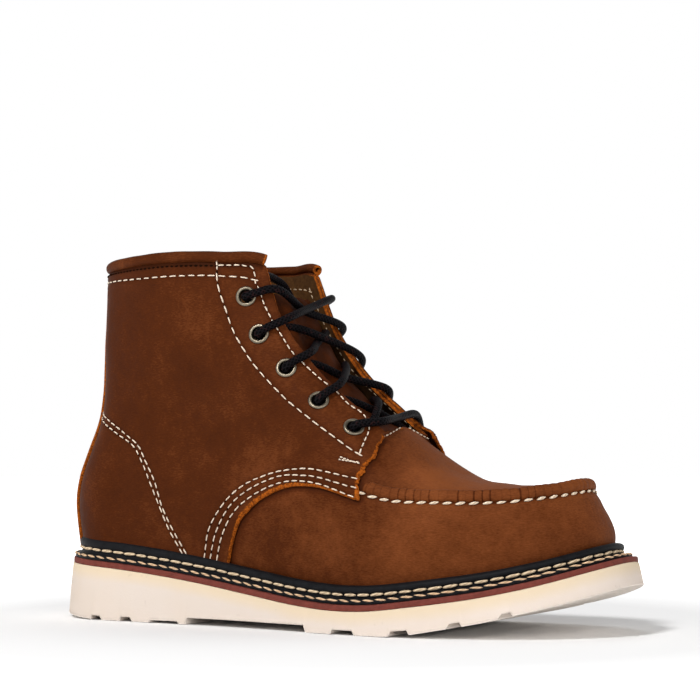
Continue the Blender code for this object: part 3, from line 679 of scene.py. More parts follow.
def putValues(mesh, values):
    # named numbers or vectors at the points of a mesh
    for key, value in values.items():
        value = np.asarray(value, np.float32)
        kind, slot = ("FLOAT_VECTOR", "vector") if value.ndim > 1 else ("FLOAT", "value")
        layer = mesh.attributes.new(key, kind, "POINT")
        layer.data.foreach_set(slot, np.ascontiguousarray(value).ravel())


def faceOutwards(mesh):
    bm = bmesh.new()
    bm.from_mesh(mesh)
    bmesh.ops.recalc_face_normals(bm, faces=bm.faces)
    bm.to_mesh(mesh)
    bm.free()


def addPiece(name, verts, faces, looksUsed, values, lookOf=None, merge=0.0, outwards=False, sharp=38.0):
    mesh = bpy.data.meshes.new(name)
    mesh.from_pydata(toFrame(verts).tolist(), [], faces if isinstance(faces, list) else faces.tolist())
    putValues(mesh, values)
    for look in looksUsed:
        mesh.materials.append(looks[look])
    if lookOf is not None:
        mesh.polygons.foreach_set("material_index", np.asarray(lookOf, np.int32))
    if merge:
        bm = bmesh.new()
        bm.from_mesh(mesh)
        bmesh.ops.remove_doubles(bm, verts=bm.verts, dist=merge * mm)
        bmesh.ops.dissolve_degenerate(bm, edges=bm.edges, dist=merge * mm)
        bm.to_mesh(mesh)
        bm.free()
    if outwards:
        faceOutwards(mesh)
    mesh.shade_smooth()
    if sharp:
        mesh.set_sharp_from_angle(angle=math.radians(sharp))
    return linked(name, mesh)


def settle(piece, slotName, *nodes):
    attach(piece, "root")
    if nodes:
        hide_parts(*nodes)
    print(piece.name, len(piece.data.polygons), "faces")


# how raw the cut edge is, by steps of the mesh in from it
rawEdge = ([0, 1, 2, 3], [1.0, 0.64, 0.24, 0.0])


def panelSolid(outer, inner, belly=0.25):
    # closed sheet between two grids, with its cut edge bulging a little
    rows, cols = outer.shape[:2]
    count = rows * cols
    edge = [(i, 0) for i in range(rows)]
    edge += [(rows - 1, j) for j in range(1, cols)]
    edge += [(i, cols - 1) for i in range(rows - 2, -1, -1)]
    edge += [(0, j) for j in range(cols - 2, 0, -1)]
    e = np.array([i * cols + j for i, j in edge])
    flatOuter, flatInner = outer.reshape(-1, 3), inner.reshape(-1, 3)
    step = np.roll(flatOuter[e], -1, 0) - np.roll(flatOuter[e], 1, 0)
    out = unit(np.cross(step, flatOuter[e] - flatInner[e]))
    middle = (flatOuter[e] + flatInner[e]) / 2 + out * belly
    m = np.arange(len(e)) + 2 * count
    nextE, nextM = np.roll(e, -1), np.roll(m, -1)
    rim = np.concatenate([
        np.stack([nextE, e, m, nextM], -1),
        np.stack([nextM, m, e + count, nextE + count], -1),
    ])
    faces = np.concatenate([gridFaces(rows, cols), gridFaces(rows, cols, count, flip=True), rim])
    verts = np.concatenate([flatOuter, flatInner, middle])
    raw = np.zeros(len(verts))
    raw[e + count] = raw[m] = 1.0
    raw[:count] = np.interp(borderDepth(rows, cols), *rawEdge).ravel()
    return verts, faces, raw


def borderDepth(rows, cols):
    i, j = np.meshgrid(np.arange(rows), np.arange(cols), indexing="ij")
    return np.minimum(np.minimum(i, rows - 1 - i), np.minimum(j, cols - 1 - j))


def edgeDrop(rows, cols, amounts=(0.85, 0.32, 0.06)):
    depth = borderDepth(rows, cols)
    drop = np.zeros((rows, cols))
    for k, amount in enumerate(amounts):
        drop[depth == k] = amount
    return drop


def nearRows(points, paths):
    # distance in millimetres from each point to the nearest sewn row
    tree = KDTree(sum(len(p) for p in paths))
    k = 0
    for path in paths:
        for p in path:
            tree.insert(p, k)
            k += 1
    tree.balance()
    flat = points.reshape(-1, 3)
    return np.array([tree.find(p)[2] for p in flat]).reshape(points.shape[:-1])


# sewn rows on the side, each through x and z in the side view
rowPitch = {"eyestay": 5.5, "front": 3.7, "collar": 5.2, "triple": 4.7, "counter": 4.5, "tack": 1.7}
sideRows = {
    "eyestayRear": ("eyestay", [
        (-47.4, 173.6), (-47.2, 166.6), (-43.1, 152.9), (-40.3, 145.5), (-30.1, 129.6), (-18, 116.9),
        (-4.8, 105.6), (8.2, 96.7), (20.8, 88.5), (31.8, 81.4)]),
    "eyestayFront": ("front", [
        (-45.6, 173.7), (-36.4, 173.4), (-32.3, 172.0), (-30.8, 165.7), (-26, 155.7), (-21.9, 147.3),
        (-16.3, 138.8), (-9.7, 130.3), (-2.4, 122.7), (4.0, 117.4), (11.8, 110.9), (19.2, 105.0),
        (26.6, 99.2), (31, 93), (32.2, 86.5), (32.2, 82.6)]),
    "collarRow": ("collar", [
        (-129.2, 170.2), (-121.9, 170), (-84.3, 169.6), (-55.5, 169.2), (-45.9, 168.5), (-31.0, 166.2)]),
    "tripleInner": ("triple", [
        (-48.2, 32.6), (-44.8, 42.1), (-37.3, 53.8), (-25.8, 62.2), (-14.4, 67.1), (-2.6, 69.5),
        (8.4, 69), (19.1, 66.6), (31.5, 62.5)]),
    "tripleMiddle": ("triple", [
        (-52.2, 33.2), (-48.4, 43.8), (-39.8, 56.6), (-25.9, 66.2), (-8.7, 71.9), (5.9, 72),
        (23.8, 68.5), (32.4, 66.4)]),
    "tripleOuter": ("triple", [
        (-56, 33.2), (-51.9, 46.6), (-42, 59.4), (-31.5, 67.1), (-14.7, 73), (0, 75.1), (12.9, 74.5),
        (32.0, 70.6)]),
    "counterRear": ("counter", [
        (-131.4, 103.5), (-125.2, 100.2), (-110.5, 92.4), (-100.1, 86.5), (-94.4, 79.2), (-88.5, 69.3),
        (-82.5, 58.3), (-76.9, 46.2), (-70.3, 35.2)]),
    "counterFront": ("counter", [
        (-130.6, 105.9), (-117.2, 99.2), (-105.8, 92.6), (-97.6, 87.2), (-91.9, 79.1), (-85.0, 68.4),
        (-80.1, 56.4), (-74.1, 45.3), (-67.9, 35.2)]),
    "tackOne": ("tack", [(24.5, 80.2), (32.6, 77.4)]),
    "tackTwo": ("tack", [(23.9, 79.2), (32.0, 77.9)]),
}


def denseWay(turn, climb, step=0.8):
    # finely spaced turn and climb along a row
    keys = runAlong(skin(turn, climb, lateral))
    at = np.linspace(0, keys[-1], max(int(keys[-1] / step), 2))
    return smoothCurve(keys, turn, at), np.clip(smoothCurve(keys, climb, at), 0, 1)


rowWays = {}
for name, (kind, places) in sideRows.items():
    rowWays[name] = (kind, *denseWay(*sidePlaces(places, lateral)))
sewnPaths = []
for side in (lateral, medial):
    for kind, turn, climb in rowWays.values():
        way = sideWay(turn, side)
        points = raised(way, climb, boot["panelLift"])
        sewnPaths.append({"kind": kind, "side": side, "points": points, "face": ringNormal(way, climb)})
print("sewn rows placed:", len(sewnPaths))


# soft creases of the quarter: x and z of the middle, reach each way, slant, depth
creases = table("x z long wide slant depth", [
    (-62, 118, 26, 7.0, 8, 0.55),
    (-70, 101, 22, 6.0, -6, 0.50),
    (-48, 92, 18, 6.0, 20, 0.45),
    (-24, 96, 20, 7.0, 42, 0.50),
    (-100, 124, 16, 6.0, -14, 0.40),
    (-112, 66, 14, 8.0, 70, 0.35),
    (4, 84, 16, 6.0, 30, 0.35),
])


def creaseDepth(points):
    depth = np.zeros(points.shape[:-1])
    for x, z, reach, wide, slant, deep in zip(*creases.values()):
        a = math.radians(slant)
        dx, dz = points[..., 0] - x, points[..., 2] - z
        along = dx * math.cos(a) + dz * math.sin(a)
        across = -dx * math.sin(a) + dz * math.cos(a) + 0.02 * along ** 2 / reach * 4
        depth += deep * np.exp(-((along / reach) ** 2) - (across / wide) ** 2)
    return depth


# quarters

quarter = {
    "columns": 210,
    "extra": 30,
    "rows": 128,
    "base": 0.15,
    "hem": 5.0,
    "trough": 0.30,
    "troughWidth": 1.1,
    "swell": 0.16,
    "swellAway": 2.4,
    "uneven": 0.28,
    "fray": 0.0011,
    "curl": 2.6,
    "curlFrom": 32.5,
    "curlTo": 38.5,
    "rowShade": 0.20,
    "creaseShade": 0.18,
    "collarShade": 0.6,
    "edge": [
        (-42.2, 29.5), (-38.8, 39.6), (-35.1, 47.8), (-27.8, 55.8), (-16.0, 63.1), (-4.8, 66.7),
        (7.5, 67.2), (19.2, 65.3), (34.3, 61.0)],
    "frontEdge": [(35.2, 61.4), (34.2, 71.6), (36.5, 77.2), (38.0, 80.0), (37.9, 83.4), (37.1, 89.5)],
}
edgeTurn, edgeClimb = sidePlaces(quarter["edge"], lateral)
frontTurn, frontClimb = sidePlaces(quarter["frontEdge"], lateral)


def hemClimb(turn, height):
    # climb of the skin at a height over the feather line
    climbs = np.linspace(0, levels[1], 60)
    found = []
    for t in np.atleast_1d(turn):
        z = skin(t, climbs, lateral)[:, 2]
        found.append(np.interp(z[0] + height, z, climbs))
    return np.array(found)


def quarterGrid():
    probe = np.linspace(0, throatTurn, 400)
    run = runAlong(skin(probe, 0.3, lateral))
    base = np.interp(np.linspace(0, run[-1], quarter["columns"]), run, probe)
    extra = np.linspace(edgeTurn[0], edgeTurn[3], quarter["extra"])
    column = np.unique(np.round(np.concatenate([base, extra]), 6))
    low = hemClimb(column, quarter["hem"])
    edge = smoothCurve(edgeTurn, edgeClimb, column)
    low = np.where(column > edgeTurn[0], np.maximum(low, edge), low)
    rise = np.linspace(0, 1, quarter["rows"]) ** 0.92
    climb = low[:, None] + (1 - low)[:, None] * rise
    reach = np.interp(climb, np.append(frontClimb, 1.0), np.append(frontTurn, throatTurn)) - throatTurn
    waver = np.sin(climb * 43) + 0.6 * np.sin(climb * 101 + 1.3) + 0.45 * np.sin(climb * 231 + 0.4)
    pull = smoothStep(throatTurn - 0.05, throatTurn, column)[:, None]
    frayed = smoothStep(throatTurn - 0.006, throatTurn, column)[:, None] * (climb < 0.94)
    return column[:, None] + reach * pull + quarter["fray"] * waver * frayed, climb


def makeQuarter(name, side):
    turn, climb = quarterGrid()
    if side == medial:
        turn, climb = turn[::-1], climb[::-1]
    way = sideWay(turn, side)
    skinPoints, face = ringSkin(way, climb), ringNormal(way, climb)
    rows = [p["points"] for p in sewnPaths if p["side"] == side]
    top = skinPoints + face * boot["panelLift"]
    near, crease = nearRows(top, rows), creaseDepth(top)
    press = quarter["trough"] * np.exp(-((near / quarter["troughWidth"]) ** 2))
    swell = quarter["swell"] * np.exp(-(((near - quarter["swellAway"]) / quarter["troughWidth"]) ** 2))
    lift = boot["panelLift"] - press + swell - crease + quarter["uneven"] * ripple(top, 38.0, 3)
    lift = lift - edgeDrop(*turn.shape)
    # the inner flap's front end curls up
    curl = quarter["curl"] * smoothStep(quarter["curlFrom"], quarter["curlTo"], skinPoints[..., 0])
    curl = curl * (side == medial)
    outer = skinPoints + face * (lift + curl)[..., None]
    inner = skinPoints + face * (quarter["base"] + curl)[..., None]
    verts, faces, raw = panelSolid(outer, inner)
    tone = 0.09 * ripple(verts, 60.0, 11) + 0.04 * ripple(verts, 17.0, 12)
    # no raw edge under the collar roll; little at the flap's top, as painted shade there
    behind = turn < collarTurn - 0.003
    under = np.where(behind, 1 - climb, 1.0)
    raw[:turn.size] *= (under > 0.03).ravel()
    raw[:turn.size] *= np.where(~behind & (climb > 0.95), 0.3, 1.0).ravel()
    # painted shade: darker along the sewn rows, in the creases and close under the collar roll
    shade = quarter["rowShade"] * np.exp(-((near / 1.3) ** 2)) + quarter["creaseShade"] * crease
    shade = shade + quarter["collarShade"] * np.exp(-((under / 0.014) ** 2))
    dark = np.zeros(len(verts))
    dark[:turn.size] = shade.ravel()
    # painted light: the quarter is painted lighter towards the toe
    tone = tone + 0.10 * smoothStep(-110, 40, verts[:, 0]) - 0.05
    return addPiece(name, verts, faces, ["leather"], {"raw": raw, "tone": tone - dark})


# upper: vamp, plug and lining

upper = {
    "columns": 380,
    "rows": 96,
    "gather": 0.10,
    "gatherPitch": 4.2,
    "swell": 0.45,
    "uneven": 0.30,
    "dip": 0.7,
    "dipAway": 5.4,
    "dipShade": 0.34,
    "plugPaintedLight": 0.20,
    "seamShade": 0.30,
    "footShade": 0.16,
    "edgeShade": 0.5,
}
mocSeam = {"climb": 0.497, "start": 0.5955}


def upperGrid():
    # more columns where the vamp shows, more rows near the toe seam
    keys = [0.0, 0.36, 0.60, 1.0]
    share = [0.0, 0.13, 0.42, 1.0]
    half = np.interp(np.linspace(0, 1, upper["columns"] // 2 + 1), share, keys)
    way = np.concatenate([half, 2 - half[-2:0:-1]])
    for knot in (collarTurn, throatTurn, closedTurn):
        k = np.abs(half - knot).argmin()
        way[k] = knot
        way[len(way) - k] = 2 - knot
    climb = np.interp(np.linspace(0, 1, upper["rows"]), [0, 0.40, 0.72, 1], [0, 0.43, 0.62, 1])
    climb[np.abs(climb - 0.5).argmin()] = 0.5
    return way, climb


def seamPoints(count):
    way = np.linspace(mocSeam["start"], 2 - mocSeam["start"], count)
    return way, ringSkin(way, mocSeam["climb"])


def makeUpper():
    way, climb = upperGrid()
    rows, cols = len(way), len(climb)
    wayGrid, climbGrid = np.meshgrid(way, climb, indexing="ij")
    skinPoints, face = ringSkin(wayGrid, climbGrid), ringNormal(wayGrid, climbGrid)
    turn = foldTurn(wayGrid)
    below = np.clip(mocSeam["climb"] - climbGrid, 0, 1)
    run = runAlong(skinPoints[:, cols // 2])
    gather = upper["gather"] * np.sin(run * 2 * np.pi / upper["gatherPitch"])[:, None] * np.exp(-below / 0.05)
    gather = gather * (climbGrid < mocSeam["climb"]) * smoothStep(0.58, 0.62, turn)
    swell = upper["swell"] * np.exp(-(((below - 0.05) / 0.04) ** 2)) * (climbGrid < mocSeam["climb"])
    lift = gather + swell * smoothStep(0.60, 0.66, turn) + upper["uneven"] * ripple(skinPoints, 34.0, 5)
    # the plug dips where it meets the bead
    seamAway = nearRows(skinPoints, [seamPoints(700)[1]])
    dip = np.exp(-(((seamAway - upper["dipAway"]) / 1.5) ** 2))
    dip = dip * (climbGrid > mocSeam["climb"]) * smoothStep(0.60, 0.63, turn)
    lift = lift - upper["dip"] * dip
    lift = lift * smoothStep(0.38, 0.42, turn)
    outer = skinPoints + face * lift[..., None]
    inner = skinPoints - face * boot["wall"]
    inner[:, 0, 2] = outer[:, 0, 2]
    count = rows * cols
    faces = [gridFaces(rows, cols, wrap=True), gridFaces(rows, cols, count, wrap=True, flip=True)]
    i = np.arange(rows)
    k = (i + 1) % rows
    faces.append(np.stack([k * cols, i * cols, i * cols + count, k * cols + count], -1))
    # a cut edge all round the collar and the throat
    shut = closedTurn + 1e-6
    flat = foldTurn(way)
    keep = i[(flat[i] <= shut) & (flat[k] <= shut)]
    after = (keep + 1) % rows
    first, second = keep * cols + cols - 1, after * cols + cols - 1
    faces.append(np.stack([first, second, second + count, first + count], -1))
    lookOf = np.concatenate([np.full(len(f), 1 if n == 1 else 0) for n, f in enumerate(faces)])
    verts = np.concatenate([outer.reshape(-1, 3), inner.reshape(-1, 3)])
    raw = np.zeros((2, rows, cols))
    openTop = np.zeros(rows, bool)
    openTop[keep] = openTop[after] = True
    # painted shade: the raw edge on the outer face is kept faint all round the opening
    raw[0, openTop, -1] = 0.3
    raw[1, openTop, -1] = 1.0
    tone = 0.10 * ripple(skinPoints, 55.0, 21) + 0.05 * ripple(skinPoints, 18.0, 22)
    # painted light: lighter over the vamp, a little darker towards the toe's tip and darker at the back
    tone = tone - 0.12 + 0.20 * smoothStep(0.58, 0.70, turn) - 0.05 * smoothStep(0.60, 0.95, turn)
    # painted shade along the toe seam under the bead, close over the welt, and in the plug's dip beside the
    # bead
    seam = np.exp(-(((climbGrid - 0.5) / 0.012) ** 2)) * smoothStep(0.58, 0.62, turn)
    tone = tone - upper["seamShade"] * seam
    tone = tone - upper["footShade"] * np.exp(-(climbGrid / 0.10) ** 2) - upper["dipShade"] * dip
    # painted light: the plug's top is painted lighter
    tone = tone + upper["plugPaintedLight"] * smoothStep(0.50, 0.56, climbGrid) * smoothStep(0.60, 0.68, turn)
    # painted shade on the vamp close along the quarters' edges
    fronts = []
    for side in (lateral, medial):
        for edge in ((edgeTurn, edgeClimb), (frontTurn, frontClimb)):
            turnLine, climbLine = denseWay(*edge)
            fronts.append(ringSkin(sideWay(turnLine, side), climbLine))
    tone = tone - upper["edgeShade"] * np.exp(-(nearRows(skinPoints, fronts) / 1.8) ** 2)
    return addPiece(
        "upperShell", verts, np.concatenate(faces), ["litToeLeather", "suede"],
        {"raw": raw.ravel(), "tone": np.stack([tone, tone]).ravel()}, lookOf, merge=0.004)


# rolled bead over the toe seam

bead = {
    "steps": 1100,
    "sides": 22,
    "up": 3.0,
    "in": 2.35,
    "tall": 3.15,
    "wide": 2.75,
    "pitch": 4.1,
    "waver": 0.13,
    "pucker": 0.085,
    "puckerWidth": 0.075,
    "puckerShade": 0.55,
    "underShade": 0.25,
    "end": 0.8,
    "seed": 6,
}


def makeBead():
    way, seam = seamPoints(bead["steps"])
    along = unit(np.gradient(seam, axis=0))
    run = runAlong(seam)
    inward = unit(np.cross(np.broadcast_to(upward, along.shape), along))
    lift = unit(np.cross(along, inward))
    grow = smoothStep(0, 3.0, run) * smoothStep(0, 3.0, run[-1] - run)
    centre = seam + lift * (bead["up"] * (0.75 + 0.25 * grow))[:, None] + inward * bead["in"]
    angle = np.linspace(0, 2 * np.pi, bead["sides"], endpoint=False)
    wobble = np.sin(run * 0.23) + 0.6 * np.sin(run * 0.61 + 1.0)
    beat = run / bead["pitch"] + bead["waver"] * wobble
    phase = np.mod(beat, 1.0) - 0.5
    groove = np.exp(-((phase / bead["puckerWidth"]) ** 2))
    # deep puckers at the corners of the toe, faint ones at its tip
    middle = np.abs(run / run[-1] - 0.5)
    strength = bead["pucker"] * (0.2 + 0.8 * smoothStep(0.06, 0.18, middle))
    strength = strength * (1 - 0.5 * smoothStep(0.38, 0.46, middle))
    number = beat.astype(int)
    strength = strength * np.random.default_rng(bead["seed"]).uniform(0.1, 1.0, number.max() + 1)[number]
    hold = 1 - strength * groove - 0.025 * np.cos(phase * 2 * np.pi)
    ring = []
    for a in angle:
        soft = 1 + 0.03 * np.sin(run * 0.29 + a)
        size = (hold * soft * (0.82 + 0.18 * grow))[:, None]
        out, rise = bead["wide"] * math.cos(a), bead["tall"] * math.sin(a)
        ring.append(centre - inward * out * size + lift * rise * size)
    ring = np.stack(ring, 1)
    rows, cols = ring.shape[:2]
    ends = np.array([centre[0] - along[0] * bead["end"], centre[-1] + along[-1] * bead["end"]])
    verts = np.concatenate([ring.reshape(-1, 3), ends])
    n = rows * cols
    here = np.arange(cols)
    after = np.roll(here, -1)
    faces = tubeFaces(rows, cols).tolist()
    faces += np.stack([np.full(cols, n), after, here], -1).tolist()
    faces += np.stack([np.full(cols, n + 1), here + n - cols, after + n - cols], -1).tolist()
    # painted shade in the pucker grooves, on the bead's underside and at its two end caps; painted light: the
    # whole bead is painted a little lighter
    tone = np.repeat(-bead["puckerShade"] * groove * strength / bead["pucker"], cols) + 0.10
    under = bead["underShade"] * np.exp(-((np.mod(angle + np.pi / 2, 2 * np.pi) / 0.7) ** 2))
    tone = np.concatenate([tone, [-0.2, -0.2]]) - np.concatenate([np.tile(under, rows), [0, 0]])
    values = {"tone": tone, "raw": np.zeros(len(verts))}
    return addPiece("toeBead", verts, faces, ["litToeLeather"], values, outwards=True, sharp=None)


# backstay strip over the back seam

backstay = {"rows": 120, "across": 41, "lift": 2.15, "thick": 1.9, "top": 0.992}
backstayHalf = table("climb half", [(0, 0.084), (0.35, 0.078), (0.6, 0.060), (1.0, 0.046)])


def makeBackstay():
    low = hemClimb(0.0, quarter["hem"])[0]
    climb = np.linspace(low, backstay["top"], backstay["rows"])
    half = smoothCurve(backstayHalf["climb"], backstayHalf["half"], climb)
    across = np.linspace(1, -1, backstay["across"])
    way = -(half[:, None] * across)
    climbGrid = np.broadcast_to(climb[:, None], way.shape)
    way, climbGrid = way.T, climbGrid.T
    points, face = ringSkin(way, climbGrid), ringNormal(way, climbGrid)
    lift = backstay["lift"] + backstay["thick"] - edgeDrop(*way.shape, (0.5, 0.15, 0.03))
    lift = lift + 0.12 * ripple(points, 20.0, 9)
    outer = points + face * lift[..., None]
    inner = points + face * backstay["lift"]
    verts, faces, raw = panelSolid(outer, inner)
    values = {"raw": raw, "tone": 0.08 * ripple(verts, 30.0, 31)}
    return addPiece("backstayStrip", verts, faces, ["leather"], values)


# rolled collar binding, a strip wound on itself

collar = {
    "steps": 260,
    "across": 34,
    "radius": 3.25,
    "seat": 2.95,
    "lift": 0.15,
    "strip": 1.15,
    "slack": 0.12,
    "core": 0.15,
    "windings": 1.35,
    "start": -0.6,
    "rawEnd": 0.8,
}


def makeCollar():
    way = np.linspace(-collarTurn, collarTurn, collar["steps"])
    base = raised(way, 1.0, collar["lift"])
    centre = base + upward * collar["seat"]
    along = unit(np.gradient(centre, axis=0))
    side = unit(np.cross(along, np.broadcast_to(upward, along.shape)))
    lift = unit(np.cross(side, along))
    sweep = np.linspace(0, 2 * np.pi * collar["windings"], collar["across"])
    outerR = collar["radius"] - (collar["strip"] + collar["slack"]) * sweep / (2 * np.pi)
    outerR = np.maximum(outerR, collar["strip"] + collar["core"])
    innerR = outerR - collar["strip"]
    sweep = collar["start"] * np.pi + sweep
    angle = np.concatenate([sweep, sweep[::-1]])
    radius = np.concatenate([outerR, innerR[::-1]])
    uneven = 1 + 0.02 * np.sin(np.linspace(0, 40, len(way))) + 0.015 * np.sin(np.linspace(0, 97, len(way)))
    ring = (
        centre[:, None]
        + side[:, None] * (radius * np.cos(angle))[None, :, None] * uneven[:, None, None]
        + lift[:, None] * (radius * np.sin(angle))[None, :, None] * uneven[:, None, None]
    )
    rows, cols = ring.shape[:2]
    faces = tubeFaces(rows, cols, flip=True).tolist()
    last = (rows - 1) * cols
    for m in range(collar["across"] - 1):
        n = cols - 1 - m
        faces.append([m, m + 1, n - 1, n])
        faces.append([last + n, last + n - 1, last + m + 1, last + m])
    raw = np.zeros((rows, cols))
    raw[0] = raw[-1] = collar["rawEnd"]
    tone = 0.10 * ripple(ring, 30.0, 41) + 0.05
    values = {"raw": raw.ravel(), "tone": tone.ravel()}
    return addPiece("collarRoll", ring.reshape(-1, 3), faces, ["leather"], values, outwards=True, sharp=50.0)


# tongue under the throat

tongue = {
    "rows": 90,
    "across": 61,
    "thick": 2.2,
    "tuck": 9.0,
    "narrow": 0.35,
    "top": 0.88,
    "back": (0.80, 0.90, 1.0),
    "raw": 0.25,
    "foldLightAndShade": 0.06,
}
tongueRows = table("share crown sink lean", [
    (0.00, 1.0, 2.2, 0.0), (0.15, 1.6, 3.6, 1.4), (0.40, 2.7, 3.9, 2.0), (0.65, 2.5, 4.5, 1.2),
    (0.88, 1.0, 6.0, 0.0),
])
# folds of the slack tongue: share up it, place across, reach, width, slant, height
tongueFolds = table("share across reach wide slant high", [
    (0.78, -0.30, 0.10, 0.050, 0.9, 1.9),
    (0.70, -0.05, 0.12, 0.045, 0.7, -1.6),
    (0.62, -0.42, 0.10, 0.050, 1.1, 1.5),
    (0.55, 0.10, 0.12, 0.050, 0.5, 1.3),
    (0.84, 0.22, 0.10, 0.050, -0.6, 1.6),
    (0.44, -0.20, 0.12, 0.055, 0.8, -1.2),
    (0.30, 0.05, 0.12, 0.060, 0.3, 0.9),
])


def throatWay(share):
    return throatTurn + (collarTurn - throatTurn) * np.asarray(share, float)


def tongueRow(share):
    crown, sink, lean = (
        smoothCurve(tongueRows["share"], tongueRows[name], share) for name in ("crown", "sink", "lean"))
    sink = boot["wall"] + sink
    turn = float(throatWay(share))
    back = np.array(tongue["back"])
    left = raised(turn, back, -sink)
    right = raised(2 - turn, back, -sink - lean)
    middle = (left[-1] + right[-1]) / 2
    ahead = skin(float(throatWay(min(share + 0.02, 1))), 1.0, lateral)
    behind = skin(float(throatWay(max(share - 0.02, 0))), 1.0, lateral)
    along = (ahead - behind) * (1, 0, 1)
    face = unit(np.cross(along, right[-1] - left[-1]))
    face = face if face[0] > 0 else -face
    top = [
        (left[-1] + middle) / 2 + face * crown * 0.75,
        middle + face * crown,
        (right[-1] + middle) / 2 + face * crown * 0.75,
    ]
    return np.concatenate([left, top, right[::-1]])


def makeTongue():
    shares = np.linspace(0, tongue["top"], tongue["rows"])
    lines = [tongueRow(s) for s in shares]
    tuckRow = []
    for a, b in zip(lines[0], lines[3]):
        tuckRow.append(a + (lines[0][4] - a) * tongue["narrow"] + unit(a - b) * tongue["tuck"])
    rows = []
    keys = np.linspace(-1, 1, 9)
    at = np.linspace(-1, 1, tongue["across"])
    for line in [np.array(tuckRow)] + lines:
        rows.append(np.stack([smoothCurve(keys, line[:, c], at) for c in range(3)], -1))
    grid = np.stack(rows)
    step = np.gradient(grid, axis=0)
    cross = np.gradient(grid, axis=1)
    face = unit(np.cross(cross, step))
    if face[tongue["rows"] // 2, tongue["across"] // 2, 0] < 0:
        face = -face
    share = np.concatenate([[-0.05], shares])[:, None]
    high = np.zeros(grid.shape[:2])
    for s, a, reach, wide, slant, tall in zip(*tongueFolds.values()):
        du, dv = share - s, at[None, :] - a
        along = dv * math.cos(slant) + du * math.sin(slant) * 2.2
        off = -dv * math.sin(slant) + du * math.cos(slant) * 2.2
        high += tall * np.exp(-((along / (reach * 3)) ** 2) - (off / (wide * 2)) ** 2)
    high += 0.25 * ripple(grid, 14.0, 51)
    high *= smoothStep(0.02, 0.2, share) * (1 - smoothStep(0.55, 0.75, np.abs(at)))[None, :]
    outer = grid + face * (high - edgeDrop(*grid.shape[:2], (0.5, 0.15, 0.05)))[..., None]
    inner = grid + face * (high - tongue["thick"])[..., None]
    if np.cross(grid[1, 0] - grid[0, 0], grid[0, 1] - grid[0, 0]) @ face[0, 0] < 0:
        outer, inner, high = outer[:, ::-1], inner[:, ::-1], high[:, ::-1]
    verts, faces, raw = panelSolid(outer, inner)
    tone = np.zeros(len(verts))
    # painted light and shade: raised folds painted lighter, sunken ones darker
    tone[:high.size] = (tongue["foldLightAndShade"] * high).ravel()
    values = {"raw": tongue["raw"] * raw, "tone": tone}
    return addPiece("tongueLeather", verts, faces, ["tongueLeather"], values)


# sole

sole = {"columns": 260, "edgeRound": 0.7, "grooveSlope": 1.2, "bandFrom": 0.8, "bandTo": 8.8}


def solveTurn(x, offset):
    share = np.clip((np.asarray(x) - boot["heelEnd"] + offset) / (boot["soleLength"] + 2 * offset), 0, 1)
    return np.arccos(1 - 2 * share) / np.pi


def grooveDepth(x):
    depth = np.zeros_like(x)
    for start, end, deep in zip(*grooves.values()):
        rise = np.clip(np.minimum((x - start), (end - x)) / sole["grooveSlope"], 0, 1)
        depth = np.maximum(depth, deep * rise)
    return depth


def loopSolid(name, half, levelsOfLoop, look, values=None):
    # rings of turn and side, stacked from the bottom edge to the top edge, with caps across
    loop = np.concatenate([half, half[-2:0:-1]])
    side = np.concatenate([np.full(len(half), lateral), np.full(len(half) - 2, medial)])
    rings = [make(loop, side) for make in levelsOfLoop]
    count = len(loop)
    faces = tubeFaces(len(rings), count).tolist()
    last = len(half) - 1
    for start, flip in ((0, True), ((len(rings) - 1) * count, False)):
        for i in range(last):
            corners = [start + i, start + i + 1]
            if i + 1 < last:
                corners.append(start + count - i - 1)
            if i > 0:
                corners.append(start + count - i)
            faces.append(corners[::-1] if flip else corners)
    verts = np.concatenate(rings)
    return addPiece(name, verts, faces, [look], values(verts) if values else {})


def makeOutsole():
    slope, r = sole["grooveSlope"], sole["edgeRound"]
    start, end = grooves["start"], grooves["end"]
    marks = solveTurn(np.concatenate([start, start + slope, end - slope, end]), boot["flare"])
    half = np.unique(np.round(np.concatenate([np.linspace(0, 1, sole["columns"]), marks]), 6))

    def wall(share, out, up):
        def level(turn, side):
            treadX = outline(turnShare(turn), side, boot["flare"])[0]
            low = treadFloor(treadX) + grooveDepth(treadX)
            high = wedgeTop(outline(turnShare(turn), side, 0.0)[0])
            x, y = outline(turnShare(turn), side, boot["flare"] * (1 - share) + out)
            return np.stack([x, y, low + (high - low) * share + up], -1)
        return level

    stack = [wall(0, -r, 0.0), wall(0, -r * 0.3, r * 0.12), wall(0, 0, r * 0.8)]
    stack += [wall(s, 0.10 * math.sin(math.pi * s), 0) for s in np.linspace(0.08, 0.94, 16)]
    stack += [wall(1, 0, -0.5), wall(1, -0.15, -0.12), wall(1, -0.6, 0.0)]

    def values(verts):
        below = wedgeTop(verts[:, 0]) - verts[:, 2]
        over = verts[:, 2] - treadFloor(verts[:, 0])
        cut = grooveDepth(verts[:, 0])
        floorShare = 1 - smoothStep(0.1, 0.4, over - cut)
        # dirt close over the tread and painted shade on the groove floors; the tread floor share is painted
        # lighter in the foam look
        soil = 0.10 * np.exp(-over / 1.2) + 0.80 * smoothStep(0.3, 1.4, cut) * floorShare
        band = 1 - smoothStep(sole["bandFrom"], sole["bandTo"], below)
        return {"band": band, "soil": soil, "under": floorShare}

    return loopSolid("wedgeSole", half, stack, "foam", values)


